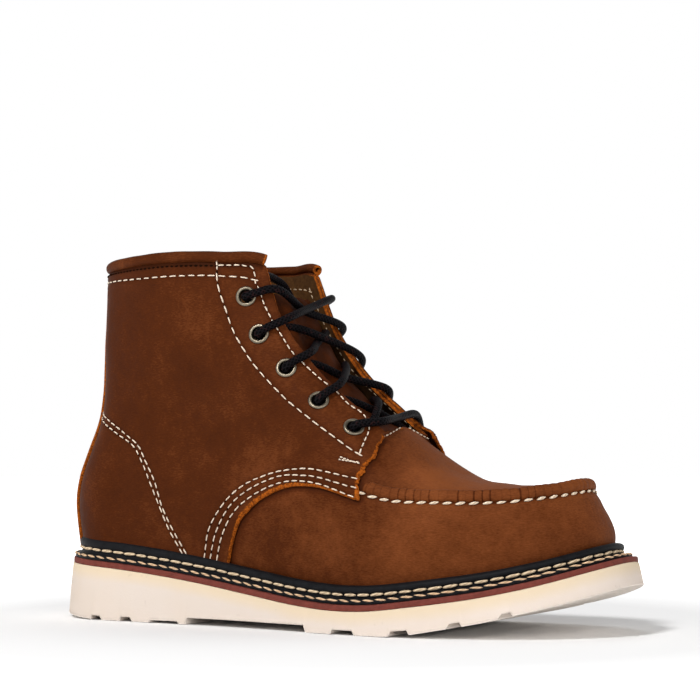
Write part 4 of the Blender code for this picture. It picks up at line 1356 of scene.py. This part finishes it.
def makeMidsole():
    thick = boot["midsoleThick"] + boot["gap"]
    steps = [
        (-0.7, 0.02), (-0.35, 0.2), (-0.28, 0.5), (-0.30, thick * 0.5), (-0.45, thick - 0.5),
        (-0.6, thick - 0.15), (-1.0, thick)]

    def level(offset, up):
        def ring(turn, side):
            x, y = outline(turnShare(turn), side, offset)
            return np.stack([x, y, wedgeTop(x) + up], -1)
        return ring

    half = np.linspace(0, 1, sole["columns"])
    return loopSolid("midsoleSheet", half, [level(*step) for step in steps], "midsole")


# steps of the insole board's edge: out from the feather line, and up
insole = {"columns": 120, "steps": [(-3.0, 0.0), (-2.9, 1.0), (-2.9, 3.2), (-3.3, 3.8), (-4.2, 4.0)]}


def makeInsole():
    def level(out, up):
        return lambda turn, side: feather(turn, side, out) + (0, 0, up)

    half = np.linspace(0, 1, insole["columns"])
    return loopSolid("insoleBoard", half, [level(*step) for step in insole["steps"]], "insole")


welt = {
    "columns": 900,
    "lipBack": 1.0,
    "toeBack": 2.0,
    "lipPitch": 6.5,
    "scallop": 0.30,
    "beadFrom": 2.5,
    "beadTo": 5.0,
    "tuck": 0.35,
    "quarterTuck": 2.1,
    "inside": (9.15, 8.6, 6.0, 3.0, 0.05),
    "runAt": (0.8, 2.0),
    "probes": 4001,
    "stitchPoints": 1400,
}
# the bead stands taller at the heel
weltTall = table("turn tall", [
    (0.0, 1.10), (0.25, 1.08), (0.45, 0.95), (0.65, 0.91), (0.85, 0.90), (1.0, 0.95),
])
# share of the ledge from upper to edge, and height over the midsole
weltProfile = table("share z", [
    (0.98, 0.05), (1.00, 0.5), (1.00, 1.3), (0.985, 1.8), (0.93, 2.05), (0.84, 2.15), (0.72, 2.25),
    (0.60, 2.45), (0.535, 2.9), (0.50, 3.6), (0.50, 4.4), (0.535, 5.0), (0.60, 5.5), (0.635, 6.2),
    (0.64, 7.0), (0.615, 7.8), (0.55, 8.6), (0.45, 9.1), (0.33, 9.25),
])


def weltFrame(way):
    turn, side = foldTurn(way), foldSide(way)
    share = turnShare(turn)
    base = feather(turn, side)
    edgeX, edgeY = outline(share, side, -welt["lipBack"] - welt["toeBack"] * share)
    return base, np.stack([edgeX - base[:, 0], edgeY - base[:, 1], np.zeros(len(way))], -1)


def weltHigh(way, flat, z):
    # puts points at a height over the midsole; only the bead grows, not the ledge
    tall = smoothCurve(weltTall["turn"], weltTall["tall"], foldTurn(way))
    rise = z * (1 + (tall - 1) * smoothStep(welt["beadFrom"], welt["beadTo"], z))
    return np.stack([flat[:, 0], flat[:, 1], midsoleTop(flat[:, 0]) + boot["gap"] * 0.5 + rise], -1)


def weltPoint(way, share, z):
    base, out = weltFrame(way)
    return weltHigh(way, base + out * np.asarray(share)[..., None], z)


def weltRun(count):
    # evenly spaced ways round the ledge, with the run in millimetres
    probe = np.linspace(0, 2, welt["probes"])
    path = weltPoint(np.mod(probe, 2), *welt["runAt"])
    run = runAlong(path)
    at = np.linspace(0, run[-1], count, endpoint=False)
    return np.interp(at, run, probe), at, run[-1]


def hemAll(way, height):
    # climb of the skin at a height, read from a coarse table round the boot
    probe = np.linspace(0, 1, 161)
    return np.interp(foldTurn(way), probe, hemClimb(probe, height))


def makeWelt():
    way, run, total = weltRun(welt["columns"])
    pitch = total / round(total / welt["lipPitch"])
    wave = np.abs(np.sin(np.pi * run / pitch))
    rings = []
    for share, z in zip(weltProfile["share"], weltProfile["z"]):
        lip = smoothStep(0.80, 0.95, share) * (z < 2.2) * (z > 0.4)
        s = share - 0.02 * lip * (1 - wave)
        up = z + lip * welt["scallop"] * (wave - 0.5)
        rings.append(weltPoint(way, s, up))
    # the inside follows the quarters, and the vamp ahead of them
    ahead = smoothStep(edgeTurn[0] - 0.01, edgeTurn[0] + 0.012, foldTurn(way))
    tuck = welt["tuck"] + welt["quarterTuck"] * (1 - ahead)
    outDir = unit(weltFrame(way)[1])
    for z in welt["inside"]:
        rings.append(weltHigh(way, ringSkin(way, hemAll(way, z)) + outDir * tuck[:, None], z))
    ring = np.stack(rings, 1)
    faces = tubeFaces(*ring.shape[:2], ringed=True, flip=True)
    return addPiece("stormWelt", ring.reshape(-1, 3), faces, ["welt"], {}, sharp=60.0)


# repeated pieces by geometry nodes

def newTree(name, inputs):
    # a tree with named inputs, and the identifier of each for the modifier
    tree = bpy.data.node_groups.new(name, "GeometryNodeTree")
    for way in ("INPUT", "OUTPUT"):
        tree.interface.new_socket("Geometry", in_out=way, socket_type="NodeSocketGeometry")
    ids = {}
    for word, kind, value in inputs:
        socket = tree.interface.new_socket(word, in_out="INPUT", socket_type="NodeSocket" + kind)
        if value is not None:
            socket.default_value = value
        ids[word.lower()] = socket.identifier
    return tree, ids, node(tree, "NodeGroupInput").outputs


def endTree(tree, copies, look, smooth):
    made = node(tree, "GeometryNodeRealizeInstances", Geometry=copies.outputs[0])
    if smooth:
        made = node(tree, "GeometryNodeSetShadeSmooth", Geometry=made.outputs[0])
    made = node(tree, "GeometryNodeSetMaterial", Geometry=made.outputs[0], Material=look)
    node(tree, "NodeGroupOutput", i0=made.outputs[0])


def facing(tree, first, axis, second, secondAxis):
    # rotation with one axis along the first vector, and another turned to the second
    along = node(tree, "FunctionNodeAlignRotationToVector", {"axis": axis}, Vector=first)
    made = node(
        tree, "FunctionNodeAlignRotationToVector", {"axis": secondAxis, "pivot_axis": axis},
        Rotation=along.outputs[0], Vector=second)
    return made.outputs[0]


def named(tree, name, kind="FLOAT_VECTOR"):
    made = node(tree, "GeometryNodeInputNamedAttribute", {"data_type": kind}, Name=name)
    return made.outputs["Attribute"]


def stitchTree():
    # rows of path edges become threads: each point gets one stitch on the leather
    tree, ids, source = newTree("stitchRows", [
        ("Jitter", "Float", 0.06), ("Skew", "Float", 0.0), ("Sink", "Float", 0.0),
        ("Seed", "Int", 1), ("Shape", "Object", None), ("Look", "Material", None)])
    rows = node(tree, "GeometryNodeMeshToCurve", Mesh=source["Geometry"])
    spaced = node(
        tree, "GeometryNodeResampleCurve", {"mode": "LENGTH"},
        Curve=rows.outputs[0], Length=named(tree, "pitch", "FLOAT"))
    ball = node(tree, "GeometryNodeObjectInfo", Object=source["Shape"])
    store = node(
        tree, "GeometryNodeStoreNamedAttribute", {"data_type": "FLOAT_VECTOR", "domain": "POINT"},
        Geometry=ball.outputs["Geometry"], Name="threadPlace",
        Value=node(tree, "GeometryNodeInputPosition").outputs[0])
    face = named(tree, "face")
    turn = facing(tree, node(tree, "GeometryNodeInputTangent").outputs[0], "X", face, "Z")
    swing = node(
        tree, "FunctionNodeRandomValue", {"data_type": "FLOAT"},
        i2=times(tree, source["Jitter"], -1.0), i3=source["Jitter"], i8=source["Seed"])
    tip = node(tree, "ShaderNodeCombineXYZ", Z=added(tree, swing.outputs[1], source["Skew"]))
    spin = node(tree, "FunctionNodeEulerToRotation", Euler=tip.outputs[0])
    turned = node(
        tree, "FunctionNodeRotateRotation", {"rotation_space": "LOCAL"}, Rotation=turn, i1=spin.outputs[0])
    sunk = node(tree, "ShaderNodeVectorMath", {"operation": "SCALE"}, i0=face, Scale=source["Sink"])
    settled = node(tree, "GeometryNodeSetPosition", Geometry=spaced.outputs[0], Offset=sunk.outputs[0])
    vary = node(
        tree, "FunctionNodeRandomValue", {"data_type": "FLOAT"}, i2=0.92, i3=1.06, i8=source["Seed"])
    grown = node(
        tree, "ShaderNodeVectorMath", {"operation": "SCALE"},
        i0=named(tree, "size"), Scale=vary.outputs[1])
    sewn = node(
        tree, "GeometryNodeInstanceOnPoints", Points=settled.outputs[0], Instance=store.outputs[0],
        Rotation=turned.outputs[0], Scale=grown.outputs[0])
    endTree(tree, sewn, source["Look"], True)
    return tree, ids


def spotTree():
    # one copy of a shape at each point, with its axis on the face normal
    tree, ids, source = newTree("spotShapes", [("Shape", "Object", None), ("Look", "Material", None)])
    shape = node(tree, "GeometryNodeObjectInfo", Object=source["Shape"])
    turn = facing(tree, named(tree, "face"), "Z", named(tree, "along"), "X")
    put = node(
        tree, "GeometryNodeInstanceOnPoints", Points=source["Geometry"],
        Instance=shape.outputs["Geometry"], Rotation=turn)
    endTree(tree, put, source["Look"], False)
    return tree, ids


def bakeNodes(name, mesh, tree, settings):
    guide = linked(name, mesh)
    step = guide.modifiers.new("repeat", "NODES")
    step.node_group = tree
    for key, value in settings.items():
        step[key] = value
    graph = bpy.context.evaluated_depsgraph_get()
    made = bpy.data.meshes.new_from_object(guide.evaluated_get(graph))
    guide.modifiers.clear()
    guide.data = made
    bpy.data.meshes.remove(mesh)
    made.name = name
    return guide


stitches, stitchIds = stitchTree()
spots, spotIds = spotTree()


def stitchRow(points, face, pitch, size):
    # points in millimetres, face normals, pitch, and half sizes of a stitch
    return {"points": points, "face": face, "pitch": pitch, "size": size}


def rowsMesh(name, rows):
    verts, edges, face, pitch, size = [], [], [], [], []
    for row in rows:
        start = len(verts)
        verts += toFrame(row["points"]).tolist()
        count = len(row["points"])
        edges += [(start + i, start + i + 1) for i in range(count - 1)]
        face.append(row["face"])
        pitch.append(np.full(count, row["pitch"] * mm))
        size.append(np.tile(np.array(row["size"]) * mm, (count, 1)))
    mesh = bpy.data.meshes.new(name)
    mesh.from_pydata(verts, edges, [])
    values = {"face": face, "size": size, "pitch": pitch}
    putValues(mesh, {key: np.concatenate(value) for key, value in values.items()})
    return mesh


# one stitch of unit half length and thickness: place along it and thickness
threadForm = {
    "sides": 7,
    "long": [(-0.90, 0.55), (-0.62, 0.95), (0.0, 1.0), (0.62, 0.95), (0.90, 0.55)],
    "lens": [(-0.80, 0.48), (-0.40, 0.88), (0.0, 1.0), (0.40, 0.88), (0.80, 0.48)],
}


def threadShape(name):
    sides, form = threadForm["sides"], threadForm[name]
    angle = np.linspace(0, 2 * np.pi, sides, endpoint=False)
    verts = [(x, r * math.cos(a), r * math.sin(a)) for x, r in form for a in angle]
    first, last = len(verts), len(verts) + 1
    end = first - sides
    verts += [(-1, 0, 0), (1, 0, 0)]
    faces = tubeFaces(len(form), sides).tolist()
    faces += [(first, (i + 1) % sides, i) for i in range(sides)]
    faces += [(last, end + i, end + (i + 1) % sides) for i in range(sides)]
    mesh = bpy.data.meshes.new(name)
    mesh.from_pydata(verts, [], [f[::-1] for f in faces])
    faceOutwards(mesh)
    return linked(name, mesh)


threadShapes = {name: threadShape(name) for name in ("long", "lens")}


def sew(name, rows, look, jitter=0.05, skew=0.0, sink=0.0, seed=1, shape="long"):
    settings = {
        "jitter": jitter, "skew": skew, "sink": sink * mm, "seed": seed,
        "shape": threadShapes[shape], "look": looks[look]}
    return bakeNodes(
        name, rowsMesh(name, rows), stitches, {stitchIds[key]: value for key, value in settings.items()})


upperThread = {
    "share": 0.38,
    "tackShare": 0.42,
    "thick": 0.35,
    "high": 0.38,
    "sink": -0.12,
    "holeShare": 0.15,
    "holeThick": 0.42,
    "holeHigh": 0.30,
    "holeSink": -0.20,
    "throatClimb": 0.95,
    "throatLift": 0.35,
    "throatPitch": 3.6,
    "throatHalf": 1.25,
}
# dark dashes close under the collar roll, painted shade of its stitched crease
collarDash = {"climb": 0.9890, "lift": 2.20, "pitch": 2.7, "size": (0.95, 0.46, 0.46)}


def levelRow(way, climb, lift, pitch, size):
    return stitchRow(raised(way, climb, lift), ringNormal(way, climb), pitch, size)


def makeUpperStitches():
    thickness = (upperThread["thick"], upperThread["high"])
    holeThickness = (upperThread["holeThick"], upperThread["holeHigh"])
    rows, holes = [], []
    for path in sewnPaths:
        points, face, pitch = path["points"], path["face"], rowPitch[path["kind"]]
        tack = path["kind"] == "tack"
        share = upperThread["tackShare" if tack else "share"]
        rows.append(stitchRow(points, face, pitch, (pitch * share, *thickness)))
        # the same row begun half a pitch later, for dark pieces painted as the shade in the holes between
        # stitches
        keep = runAlong(points) >= pitch / 2
        if not tack and keep.sum() > 2:
            size = (pitch * upperThread["holeShare"], *holeThickness)
            holes.append(stitchRow(points[keep], face[keep], pitch, size))
    for side in (lateral, medial):
        way = sideWay(np.linspace(throatTurn + 0.004, closedTurn, 30), side)
        size = (upperThread["throatHalf"], *thickness)
        rows.append(levelRow(
            way, upperThread["throatClimb"], upperThread["throatLift"], upperThread["throatPitch"], size))
        way = sideWay(np.linspace(0.004, rowWays["eyestayRear"][1][0], 160), side)
        holes.append(levelRow(way, **collarDash))
    made = sew("upperStitches", rows, "upperThread", sink=upperThread["sink"], seed=3)
    dots = sew("needleHoles", holes, "needleHoleShade", sink=upperThread["holeSink"], seed=4, shape="lens")
    return made, dots


# rows that show inside: pitch, and points skipped at the start
innerRows = {"collarRow": (4.6, 0), "eyestayFront": (3.7, 25)}
innerThread = {"share": 0.33, "thick": 0.42, "high": 0.36, "sink": -0.08}


def makeInnerStitches():
    rows = []
    for side in (lateral, medial):
        for name, (pitch, skip) in innerRows.items():
            turn, climb = (part[skip:] for part in rowWays[name][1:])
            way = sideWay(turn, side)
            points = raised(way, climb, -boot["wall"])
            size = (pitch * innerThread["share"], innerThread["thick"], innerThread["high"])
            rows.append(stitchRow(points, -ringNormal(way, climb), pitch, size))
    return sew("liningStitches", rows, "liningThread", sink=innerThread["sink"], seed=9)


mocThread = {"pitch": 6.0, "size": (2.45, 0.70, 0.66), "skew": 0.16, "lift": 0.48, "faceBelow": 0.03}


def makeMocStitches():
    way, points = seamPoints(500)
    face = ringNormal(way, mocSeam["climb"] - mocThread["faceBelow"])
    row = stitchRow(points + face * mocThread["lift"], face, mocThread["pitch"], mocThread["size"])
    return sew("toeSeamStitches", [row], "mocThread", 0.07, mocThread["skew"], seed=5, shape="lens")


weltRows = {
    "first": {
        "share": 0.57, "z": 4.55, "pitch": 7.1, "size": (3.42, 0.70, 0.78),
        "look": "weltThread", "skew": 0.04, "shape": "long", "seed": 20},
    "second": {
        "share": 0.965, "z": 1.75, "pitch": 6.5, "size": (3.40, 0.58, 0.60),
        "look": "weltThreadWarm", "skew": -0.10, "shape": "lens", "seed": 21},
}


def makeWeltStitches(name, spec):
    way, _, total = weltRun(welt["stitchPoints"])
    points = weltPoint(way, spec["share"], spec["z"])
    face = unit(unit(weltFrame(way)[1]) + upward * 0.8)
    closed = np.arange(len(way) + 1) % len(way)
    pitch = total / round(total / spec["pitch"])
    row = stitchRow(points[closed], face[closed], pitch, spec["size"])
    return sew(name, [row], spec["look"], 0.06, spec["skew"], seed=spec["seed"], shape=spec["shape"])


# eyelets

eyelet = {
    "places": [(-34.0, 158.1), (-25.6, 139.5), (-10.6, 122.5), (7.5, 106.5), (25.9, 93.5)],
    "sides": 40,
    "hole": 3.25,
    "holeSides": 28,
    "holeReach": (-8.0, 4.0),
    "profile": [
        (4.75, -0.10), (4.95, 0.12), (4.98, 0.38), (4.80, 0.70), (4.45, 0.92), (4.05, 0.98),
        (3.65, 0.90), (3.35, 0.66), (3.18, 0.30), (3.12, -0.3), (3.10, -4.6), (3.32, -4.6),
        (3.36, -0.6), (3.6, -0.12)],
    "wear": [0.2, 0.5, 0.8, 1.0, 1.0, 1.0, 0.9, 0.6, 0.2, 0, 0, 0, 0, 0],
}


def eyeletFrames():
    frames = {}
    for side in (lateral, medial):
        turn, climb = sidePlaces(eyelet["places"], side)
        way = sideWay(turn, side)
        axis = ringNormal(way, climb)
        middle = ringSkin(way, climb) + axis * boot["panelLift"]
        frames[side] = (middle, axis)
    return frames


eyeletAt = eyeletFrames()


def eyeletShape():
    # radius and height of the profile, turned about the upright axis
    angle = np.linspace(0, 2 * np.pi, eyelet["sides"], endpoint=False)
    ring = np.array([[(r * math.cos(a), r * math.sin(a), h) for r, h in eyelet["profile"]] for a in angle])
    rows, cols = ring.shape[:2]
    mesh = bpy.data.meshes.new("eyeletShape")
    mesh.from_pydata((ring.reshape(-1, 3) * mm).tolist(), [], tubeFaces(rows, cols, ringed=True).tolist())
    putValues(mesh, {"wear": np.tile(eyelet["wear"], rows)})
    faceOutwards(mesh)
    mesh.shade_smooth()
    return linked("eyeletShape", mesh)


def makeEyelets():
    shape = eyeletShape()
    middle, axis = (np.concatenate([eyeletAt[side][k] for side in (lateral, medial)]) for k in (0, 1))
    mesh = bpy.data.meshes.new("eyelets")
    mesh.from_pydata(toFrame(middle).tolist(), [], [])
    putValues(mesh, {"face": axis, "along": np.cross(axis, upward)})
    made = bakeNodes("eyelets", mesh, spots, {spotIds["shape"]: shape, spotIds["look"]: looks["metal"]})
    bpy.data.objects.remove(shape, do_unlink=True)
    return made


def cutEyeletHoles(piece, side):
    bm = bmesh.new()
    count = eyelet["holeSides"]
    angle = np.linspace(0, 2 * np.pi, count, endpoint=False)
    for middle, axis in zip(*eyeletAt[side]):
        across = unit(np.cross(axis, upward))
        rise = np.cross(axis, across)
        ends = []
        for height in eyelet["holeReach"]:
            out = [(across * math.cos(a) + rise * math.sin(a)) * eyelet["hole"] for a in angle]
            ends.append([bm.verts.new(p) for p in toFrame([middle + axis * height + o for o in out])])
        for k in range(count):
            n = (k + 1) % count
            bm.faces.new((ends[0][k], ends[0][n], ends[1][n], ends[1][k]))
        bm.faces.new(ends[0][::-1])
        bm.faces.new(ends[1])
    bmesh.ops.recalc_face_normals(bm, faces=bm.faces)
    mesh = bpy.data.meshes.new("punch")
    bm.to_mesh(mesh)
    bm.free()
    mesh.materials.append(piece.data.materials[0])
    punch = linked("punch", mesh)
    step = piece.modifiers.new("holes", "BOOLEAN")
    step.operation, step.solver, step.object = "DIFFERENCE", "EXACT", punch
    graph = bpy.context.evaluated_depsgraph_get()
    made = bpy.data.meshes.new_from_object(piece.evaluated_get(graph))
    piece.modifiers.clear()
    old = piece.data
    piece.data = made
    bpy.data.meshes.remove(old)
    bpy.data.objects.remove(punch, do_unlink=True)


# lace: out of an eyelet, over its own edge, across and under the other edge
# at the bottom it lies across as a bar

laceWay = {
    "inside": 5.2,
    "barAhead": {lateral: 7.0, medial: 1.5},
    "barRise": 0.4,
    "lowRise": 4.6,
    "mouth": 1.4,
    "over": 2.9,
    "edgeOver": 1.75,
    "edgeUnder": 4.2,
    "cross": 1.95,
    "edgeProbe": 160,
    "tailClimb": 0.985,
    "tailTurn": 0.010,
    "tailRise": 4.5,
    "tailDeep": 3.0,
    "tailInside": 3.5,
    "bend": 4.2,
    "clear": 1.5,
}
# which lace lies on top where two cross, from the top crossing down
topLace = {1: lateral, 2: medial, 3: lateral, 4: lateral}
lastRow = len(eyelet["places"]) - 1


def throatEdge(row, side, level=False):
    # the flap's edge nearest to an eyelet, or straight across from it
    probe = np.linspace(collarTurn, throatTurn, laceWay["edgeProbe"])
    way = sideWay(probe, side)
    edge = ringSkin(way, 1.0)
    away = edge - eyeletAt[side][0][row]
    miss = np.abs(away[:, 0] - laceWay["barAhead"][side]) if level else np.linalg.norm(away, axis=1)
    k = miss.argmin()
    return edge[k], ringNormal(way[k], 1.0)


def laceMouth(row, side, level=False):
    # out of an eyelet and over the edge of its flap
    middle, axis = eyeletAt[side][0][row], eyeletAt[side][1][row]
    edge, edgeFace = throatEdge(row, side, level)
    return [
        middle - axis * laceWay["inside"],
        middle + axis * laceWay["mouth"],
        middle + axis * laceWay["over"] + unit(edge - middle) * laceWay["bend"],
        edge + edgeFace * (boot["panelLift"] + laceWay["edgeOver"]),
    ]


def laceCrossing(row, side):
    # from the eyelet of a row on one side to the eyelet above it on the other side
    edge, edgeFace = throatEdge(row, side)
    farEdge, farFace = throatEdge(row - 1, -side)
    under = boot["wall"] + laceWay["edgeUnder"]
    start = laceMouth(row, side) if row < lastRow else [edge - edgeFace * under]
    end = laceMouth(row - 1, -side)[::-1] if row == 1 else [farEdge - farFace * under]
    raiseBy = laceWay["cross"] * (1.0 if topLace[row] == side else -1.0)
    raiseBy += {1: 0.0, lastRow: laceWay["lowRise"]}.get(row, laceWay["clear"])
    return start + [(start[-1] + end[0]) / 2 + unit(edgeFace + farFace) * raiseBy] + end


def lacePath():
    # one lace: from the outer top eyelet down, across the bar at the bottom, and up again
    sides = {}
    for start in (lateral, medial):
        side, points = start, []
        for row in range(lastRow, 0, -1):
            points += laceCrossing(row, side)
            side = -side
        sides[start] = points
    # the free end runs from the inner top eyelet back under the outer flap
    middle, axis = eyeletAt[medial][0][0], eyeletAt[medial][1][0]
    tail = (collarTurn - laceWay["tailTurn"], laceWay["tailClimb"], -boot["wall"] - laceWay["tailDeep"])
    hold = raised(*tail)
    leave = middle - axis * (laceWay["inside"] + laceWay["tailInside"])
    sides[medial] += [leave, leave * 0.55 + hold * 0.45 + (0, 0, laceWay["tailRise"]), hold]
    near, far = laceMouth(lastRow, lateral, True), laceMouth(lastRow, medial, True)[::-1]
    bar = near + [(near[-1] + far[0]) / 2 + (0, 0, laceWay["barRise"])] + far
    return np.array(sides[lateral][::-1] + bar + sides[medial])


def smoothPath(points, step):
    keys = np.concatenate([[0], np.cumsum(np.linalg.norm(np.diff(points, axis=0), axis=1) ** 0.75)])
    fine = np.linspace(0, keys[-1], len(points) * 60)
    path = np.stack([smoothCurve(keys, points[:, c], fine) for c in range(3)], -1)
    run = runAlong(path)
    at = np.arange(0, run[-1], step)
    return np.stack([np.interp(at, run, path[:, c]) for c in range(3)], -1), at


def makeLace():
    path, run = smoothPath(lacePath(), lace["step"])
    along = unit(np.gradient(path, axis=0))
    side = np.zeros_like(path)
    side[0] = unit(np.cross(along[0], (0.3, 0.2, 1.0)))
    for i in range(1, len(path)):
        side[i] = unit(side[i - 1] - along[i] * (side[i - 1] @ along[i]))
    lift = np.cross(along, side)
    angle = np.linspace(0, 2 * np.pi, lace["sides"], endpoint=False)
    across = lace["radius"] * np.stack([np.cos(angle), np.sin(angle)], -1)
    ring = path[:, None] + side[:, None] * across[None, :, :1] + lift[:, None] * across[None, :, 1:]
    rows, cols = ring.shape[:2]
    faces = tubeFaces(rows, cols).tolist()
    faces.append(list(range(cols))[::-1])
    faces.append(list(range((rows - 1) * cols, rows * cols)))
    place = np.broadcast_to(np.stack([np.cos(angle), np.sin(angle), 0 * angle], -1), ring.shape).copy()
    place[..., 2] = run[:, None]
    print("lace length", round(run[-1]), "mm")
    values = {"lacePlace": place}
    return addPiece("braidedLace", ring.reshape(-1, 3), faces, ["lace"], values, outwards=True, sharp=None)


# assembly

settle(makeOutsole(), "cream_foam", "outsole")
settle(makeMidsole(), "red_rubber", "midsole")
settle(makeInsole(), "tan_insole", "insole")
settle(makeWelt(), "black_rubber", "welt")
shell = makeUpper()
for side, word in ((lateral, "lateral"), (medial, "medial")):
    panel = makeQuarter("quarter" + word.capitalize(), side)
    cutEyeletHoles(panel, side)
    cutEyeletHoles(shell, side)
    settle(panel, "brown_leather", "quarter_" + word)
settle(shell, "brown_leather", "upper")
settle(makeBead(), "brown_leather", "moc_rim")
settle(makeBackstay(), "brown_leather", "backstay")
settle(makeCollar(), "brown_leather", "collar_roll")
settle(makeTongue(), "brown_leather", "tongue")
eyeletNodes = [f"eyelet_{word}_{n}" for word in ("lateral", "medial") for n in range(1, 6)]
settle(makeEyelets(), "aged_metal", *eyeletNodes)
settle(makeLace(), "black_cord", *[f"lace_cross_{n}" for n in range(1, 5)])
for piece in makeUpperStitches():
    settle(piece, "brown_leather")
settle(makeInnerStitches(), "brown_leather")
settle(makeMocStitches(), "brown_leather")
for name, spec in weltRows.items():
    settle(makeWeltStitches("weltStitches" + name.capitalize(), spec), "black_rubber")
for shape in threadShapes.values():
    bpy.data.objects.remove(shape, do_unlink=True)
print("boot assembled")

# camera, floor and light

camera = {
    "place": (0.42932, -0.79105, 0.073),
    "azimuth": 28.0,
    "lens": 94.89,
    "sensor": 36.0,
    "shiftY": 0.177,
}
eye = bpy.data.cameras.new("photoCamera")
eye.lens, eye.sensor_width, eye.shift_y = camera["lens"], camera["sensor"], camera["shiftY"]
eye.clip_start, eye.clip_end = 0.01, 50.0
eyeObject = linked("photoCamera", eye)
eyeObject.location = camera["place"]
eyeObject.rotation_euler = (math.radians(90), 0, math.radians(camera["azimuth"]))
bpy.context.scene.camera = eyeObject

floorSpec = {
    "half": 30.0,
    "drop": 0.0002,
    "colour": (0.93, 0.93, 0.93, 1),
    "rough": 0.9,
    "litFrom": 0.20,
    "litTo": 0.60,
    "glow": 1.0,
}
floorMesh = bpy.data.meshes.new("floor")
h = floorSpec["half"]
floorMesh.from_pydata([(-h, -h, 0), (h, -h, 0), (h, h, 0), (-h, h, 0)], [], [(0, 1, 2, 3)])
floor = linked("floor", floorMesh)
floor.location.z = -floorSpec["drop"]
# the sweep brightens away from the boot until it is white
floorLook, floorTree, floorShader = newLook("pale floor")
reach = node(floorTree, "ShaderNodeVectorMath", {"operation": "LENGTH"}, i0=objectPlace(floorTree))
glow = remap(
    floorTree, reach.outputs["Value"], floorSpec["litFrom"], floorSpec["litTo"], 0.0, floorSpec["glow"])
dress(
    floorTree, floorShader, colour=floorSpec["colour"], rough=floorSpec["rough"], shine=0.0,
    glow=glow, glowColour=(1, 1, 1, 1))
floorMesh.materials.append(floorLook)

lights = {
    "key": {"place": (-0.12, -1.49, 1.62), "size": 0.42, "power": 30.0, "aim": (0.0, 0.0, 0.08)},
    "front": {"place": (1.45, -1.25, 0.70), "size": 1.2, "power": 7.0, "aim": (0.03, 0.0, 0.07)},
    "top": {"place": (-0.35, 0.55, 1.7), "size": 0.9, "power": 5.0, "aim": (0.0, 0.0, 0.1)},
}
for name, spec in lights.items():
    lamp = bpy.data.lights.new(name, "AREA")
    lamp.shape, lamp.size, lamp.energy = "DISK", spec["size"], spec["power"]
    lampObject = linked(name, lamp)
    lampObject.location = spec["place"]
    aim = np.array(spec["aim"]) - np.array(spec["place"])
    tilt = math.acos(-aim[2] / np.linalg.norm(aim))
    lampObject.rotation_euler = (tilt, 0, math.atan2(aim[1], aim[0]) - math.pi / 2)

# white round the horizon, dimmer overhead
sky = {"level": 1.0, "overhead": 0.22, "from": 0.30, "to": 0.60}
world = bpy.data.worlds.new("studio")
world.use_nodes = True
worldTree = world.node_tree
direction = node(worldTree, "ShaderNodeTexCoord").outputs["Generated"]
height = node(worldTree, "ShaderNodeSeparateXYZ", Vector=direction).outputs["Z"]
strength = remap(worldTree, height, sky["from"], sky["to"], sky["level"], sky["overhead"])
worldTree.links.new(strength, worldTree.nodes["Background"].inputs["Strength"])
worldTree.nodes["Background"].inputs["Color"].default_value = (1, 1, 1, 1)
bpy.context.scene.world = world
bpy.context.scene.view_settings.view_transform = "Standard"
bpy.context.scene.view_settings.look = "None"
print("camera, floor and lights set")
